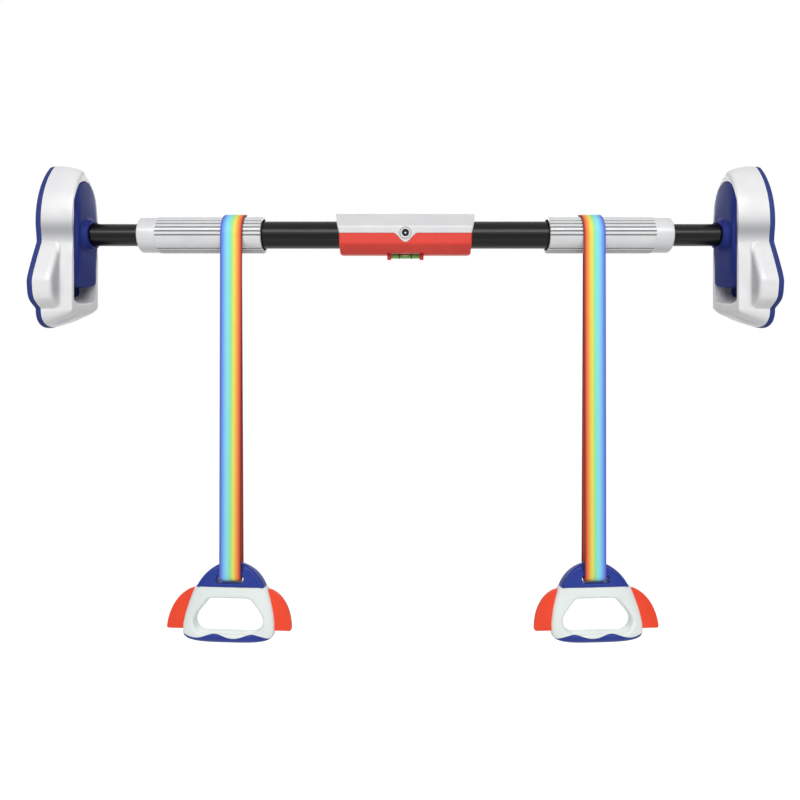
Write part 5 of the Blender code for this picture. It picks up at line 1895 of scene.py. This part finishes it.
@dataclass(frozen=True)
class Softbox:
    """A rectangular lamp: where it stands, the point that it faces, its size and its power in watts."""

    name: str
    stand: Triple
    aim: Triple
    size: tuple[float, float]
    power: float

    def build(self) -> None:
        """Adds the lamp to the scene."""
        lamp = bpy.data.lights.new(self.name, "AREA")
        lamp.shape, lamp.energy = "RECTANGLE", self.power
        lamp.size, lamp.size_y = self.size
        obj = bpy.data.objects.new(self.name, lamp)
        obj.location = self.stand
        obj.rotation_euler = (Vector(self.aim) - Vector(self.stand)).to_track_quat("-Z", "Y").to_euler()
        bpy.context.collection.objects.link(obj)


LAMPS = (
    Softbox("front_softbox", (0, -1.55, 0.75), (0, 0, -0.05), (2.6, 1.1), 6.0),
    Softbox("high_strip", (0, -1.50, 0.84), (0, 0, 0), (2.6, 0.5), 27.0),
    Softbox("rear_softbox", (0, 1.70, 0.60), (0, 0, -0.1), (2.6, 0.9), 18.0),
    Softbox("low_strip", (0, -0.9, -0.95), (0, 0, -0.1), (2.4, 0.25), 1.5),
)


@dataclass
class Studio:
    """The photograph's white surround: floor, world, soft lamps and the camera."""

    floor_level: float = -1.05
    floor_half: float = 6.0
    camera_distance: float = 0.698
    camera_height: float = -0.064
    lens: float = 27.0
    shift_x: float = -0.00675
    shift_y: float = -0.1375
    ambient: float = 0.14

    def seen_directly(self, sheet: NodeSheet) -> Socket:
        """1 for rays from the camera, in a mirror or through glass, and 0 for light.

        Args:
            sheet: The sheet to lay it out on.

        Returns:
            The socket that puts it out.
        """
        path = sheet.add("ShaderNodeLightPath").outputs
        both = sheet.math("MAXIMUM", path["Is Camera Ray"], path["Is Glossy Ray"])
        return sheet.math("MAXIMUM", both, path["Is Transmission Ray"])

    def build_world(self) -> None:
        """A world that is white to the eye and a softer grey as light."""
        world = bpy.data.worlds.new("white_surround")
        bpy.context.scene.world = world
        sheet = NodeSheet.fresh(world)
        strength = sheet.between(self.seen_directly(sheet), self.ambient, 1.0)
        light = sheet.add("ShaderNodeBackground", {"Color": (1, 1, 1, 1), "Strength": strength})
        sheet.add("ShaderNodeOutputWorld", {"Surface": light.outputs[0]})

    def build_floor(self) -> None:
        """A wide pale floor that keeps the object's soft shadow."""
        corners = np.array([(-1, -1), (1, -1), (1, 1), (-1, 1)]) * self.floor_half
        floor = make("studio_floor", points_of(*corners.T, self.floor_level), [[0, 1, 2, 3]])
        if floor.data.polygons[0].normal.z < 0:
            floor.data.flip_normals()
        material = bpy.data.materials.new("pale_floor")
        sheet = NodeSheet.fresh(material)
        seen = self.seen_directly(sheet)
        plain = sheet.add("ShaderNodeBsdfDiffuse", {"Color": (0.8, 0.8, 0.8, 1)})
        glow = sheet.add("ShaderNodeEmission", {"Color": (1, 1, 1, 1), "Strength": 0.98})
        thin = sheet.add("ShaderNodeBsdfDiffuse", {"Color": (0.3, 0.3, 0.3, 1)})
        lit = sheet.add("ShaderNodeAddShader", {0: glow.outputs[0], 1: thin.outputs[0]})
        mixed = sheet.add("ShaderNodeMixShader", {0: seen, 1: plain.outputs[0], 2: lit.outputs[0]})
        sheet.add("ShaderNodeOutputMaterial", {"Surface": mixed.outputs[0]})
        floor.data.materials.append(material)

    def build_camera(self) -> None:
        """A level camera in front of the bar."""
        camera = bpy.data.cameras.new("photo_camera")
        camera.lens, camera.sensor_width = self.lens, 36.0
        camera.shift_x, camera.shift_y = self.shift_x, self.shift_y
        obj = bpy.data.objects.new("photo_camera", camera)
        obj.location = (0, -self.camera_distance, self.camera_height)
        obj.rotation_euler = (math.radians(90), 0, 0)
        bpy.context.collection.objects.link(obj)
        bpy.context.scene.camera = obj

    def build(self) -> None:
        """Builds the surround."""
        bpy.context.scene.view_settings.view_transform = "Standard"
        self.build_world()
        self.build_floor()
        for lamp in LAMPS:
            lamp.build()
        self.build_camera()
        LOG.info("studio ready")


def main() -> None:
    """Builds the object in order, from the bar out to the handles."""
    logging.basicConfig(level=logging.INFO, format="%(message)s")
    Studio().build()
    MainTube().build()
    CentreCover().build()
    for side, offset in ((Side.LEFT, 0.2003), (Side.RIGHT, 0.2172)):
        Grip(side).build()
        Foot(side).build()
        Strap(side, offset).build()
        Handle(side, offset).build()


if __name__ == "__main__":
    main()
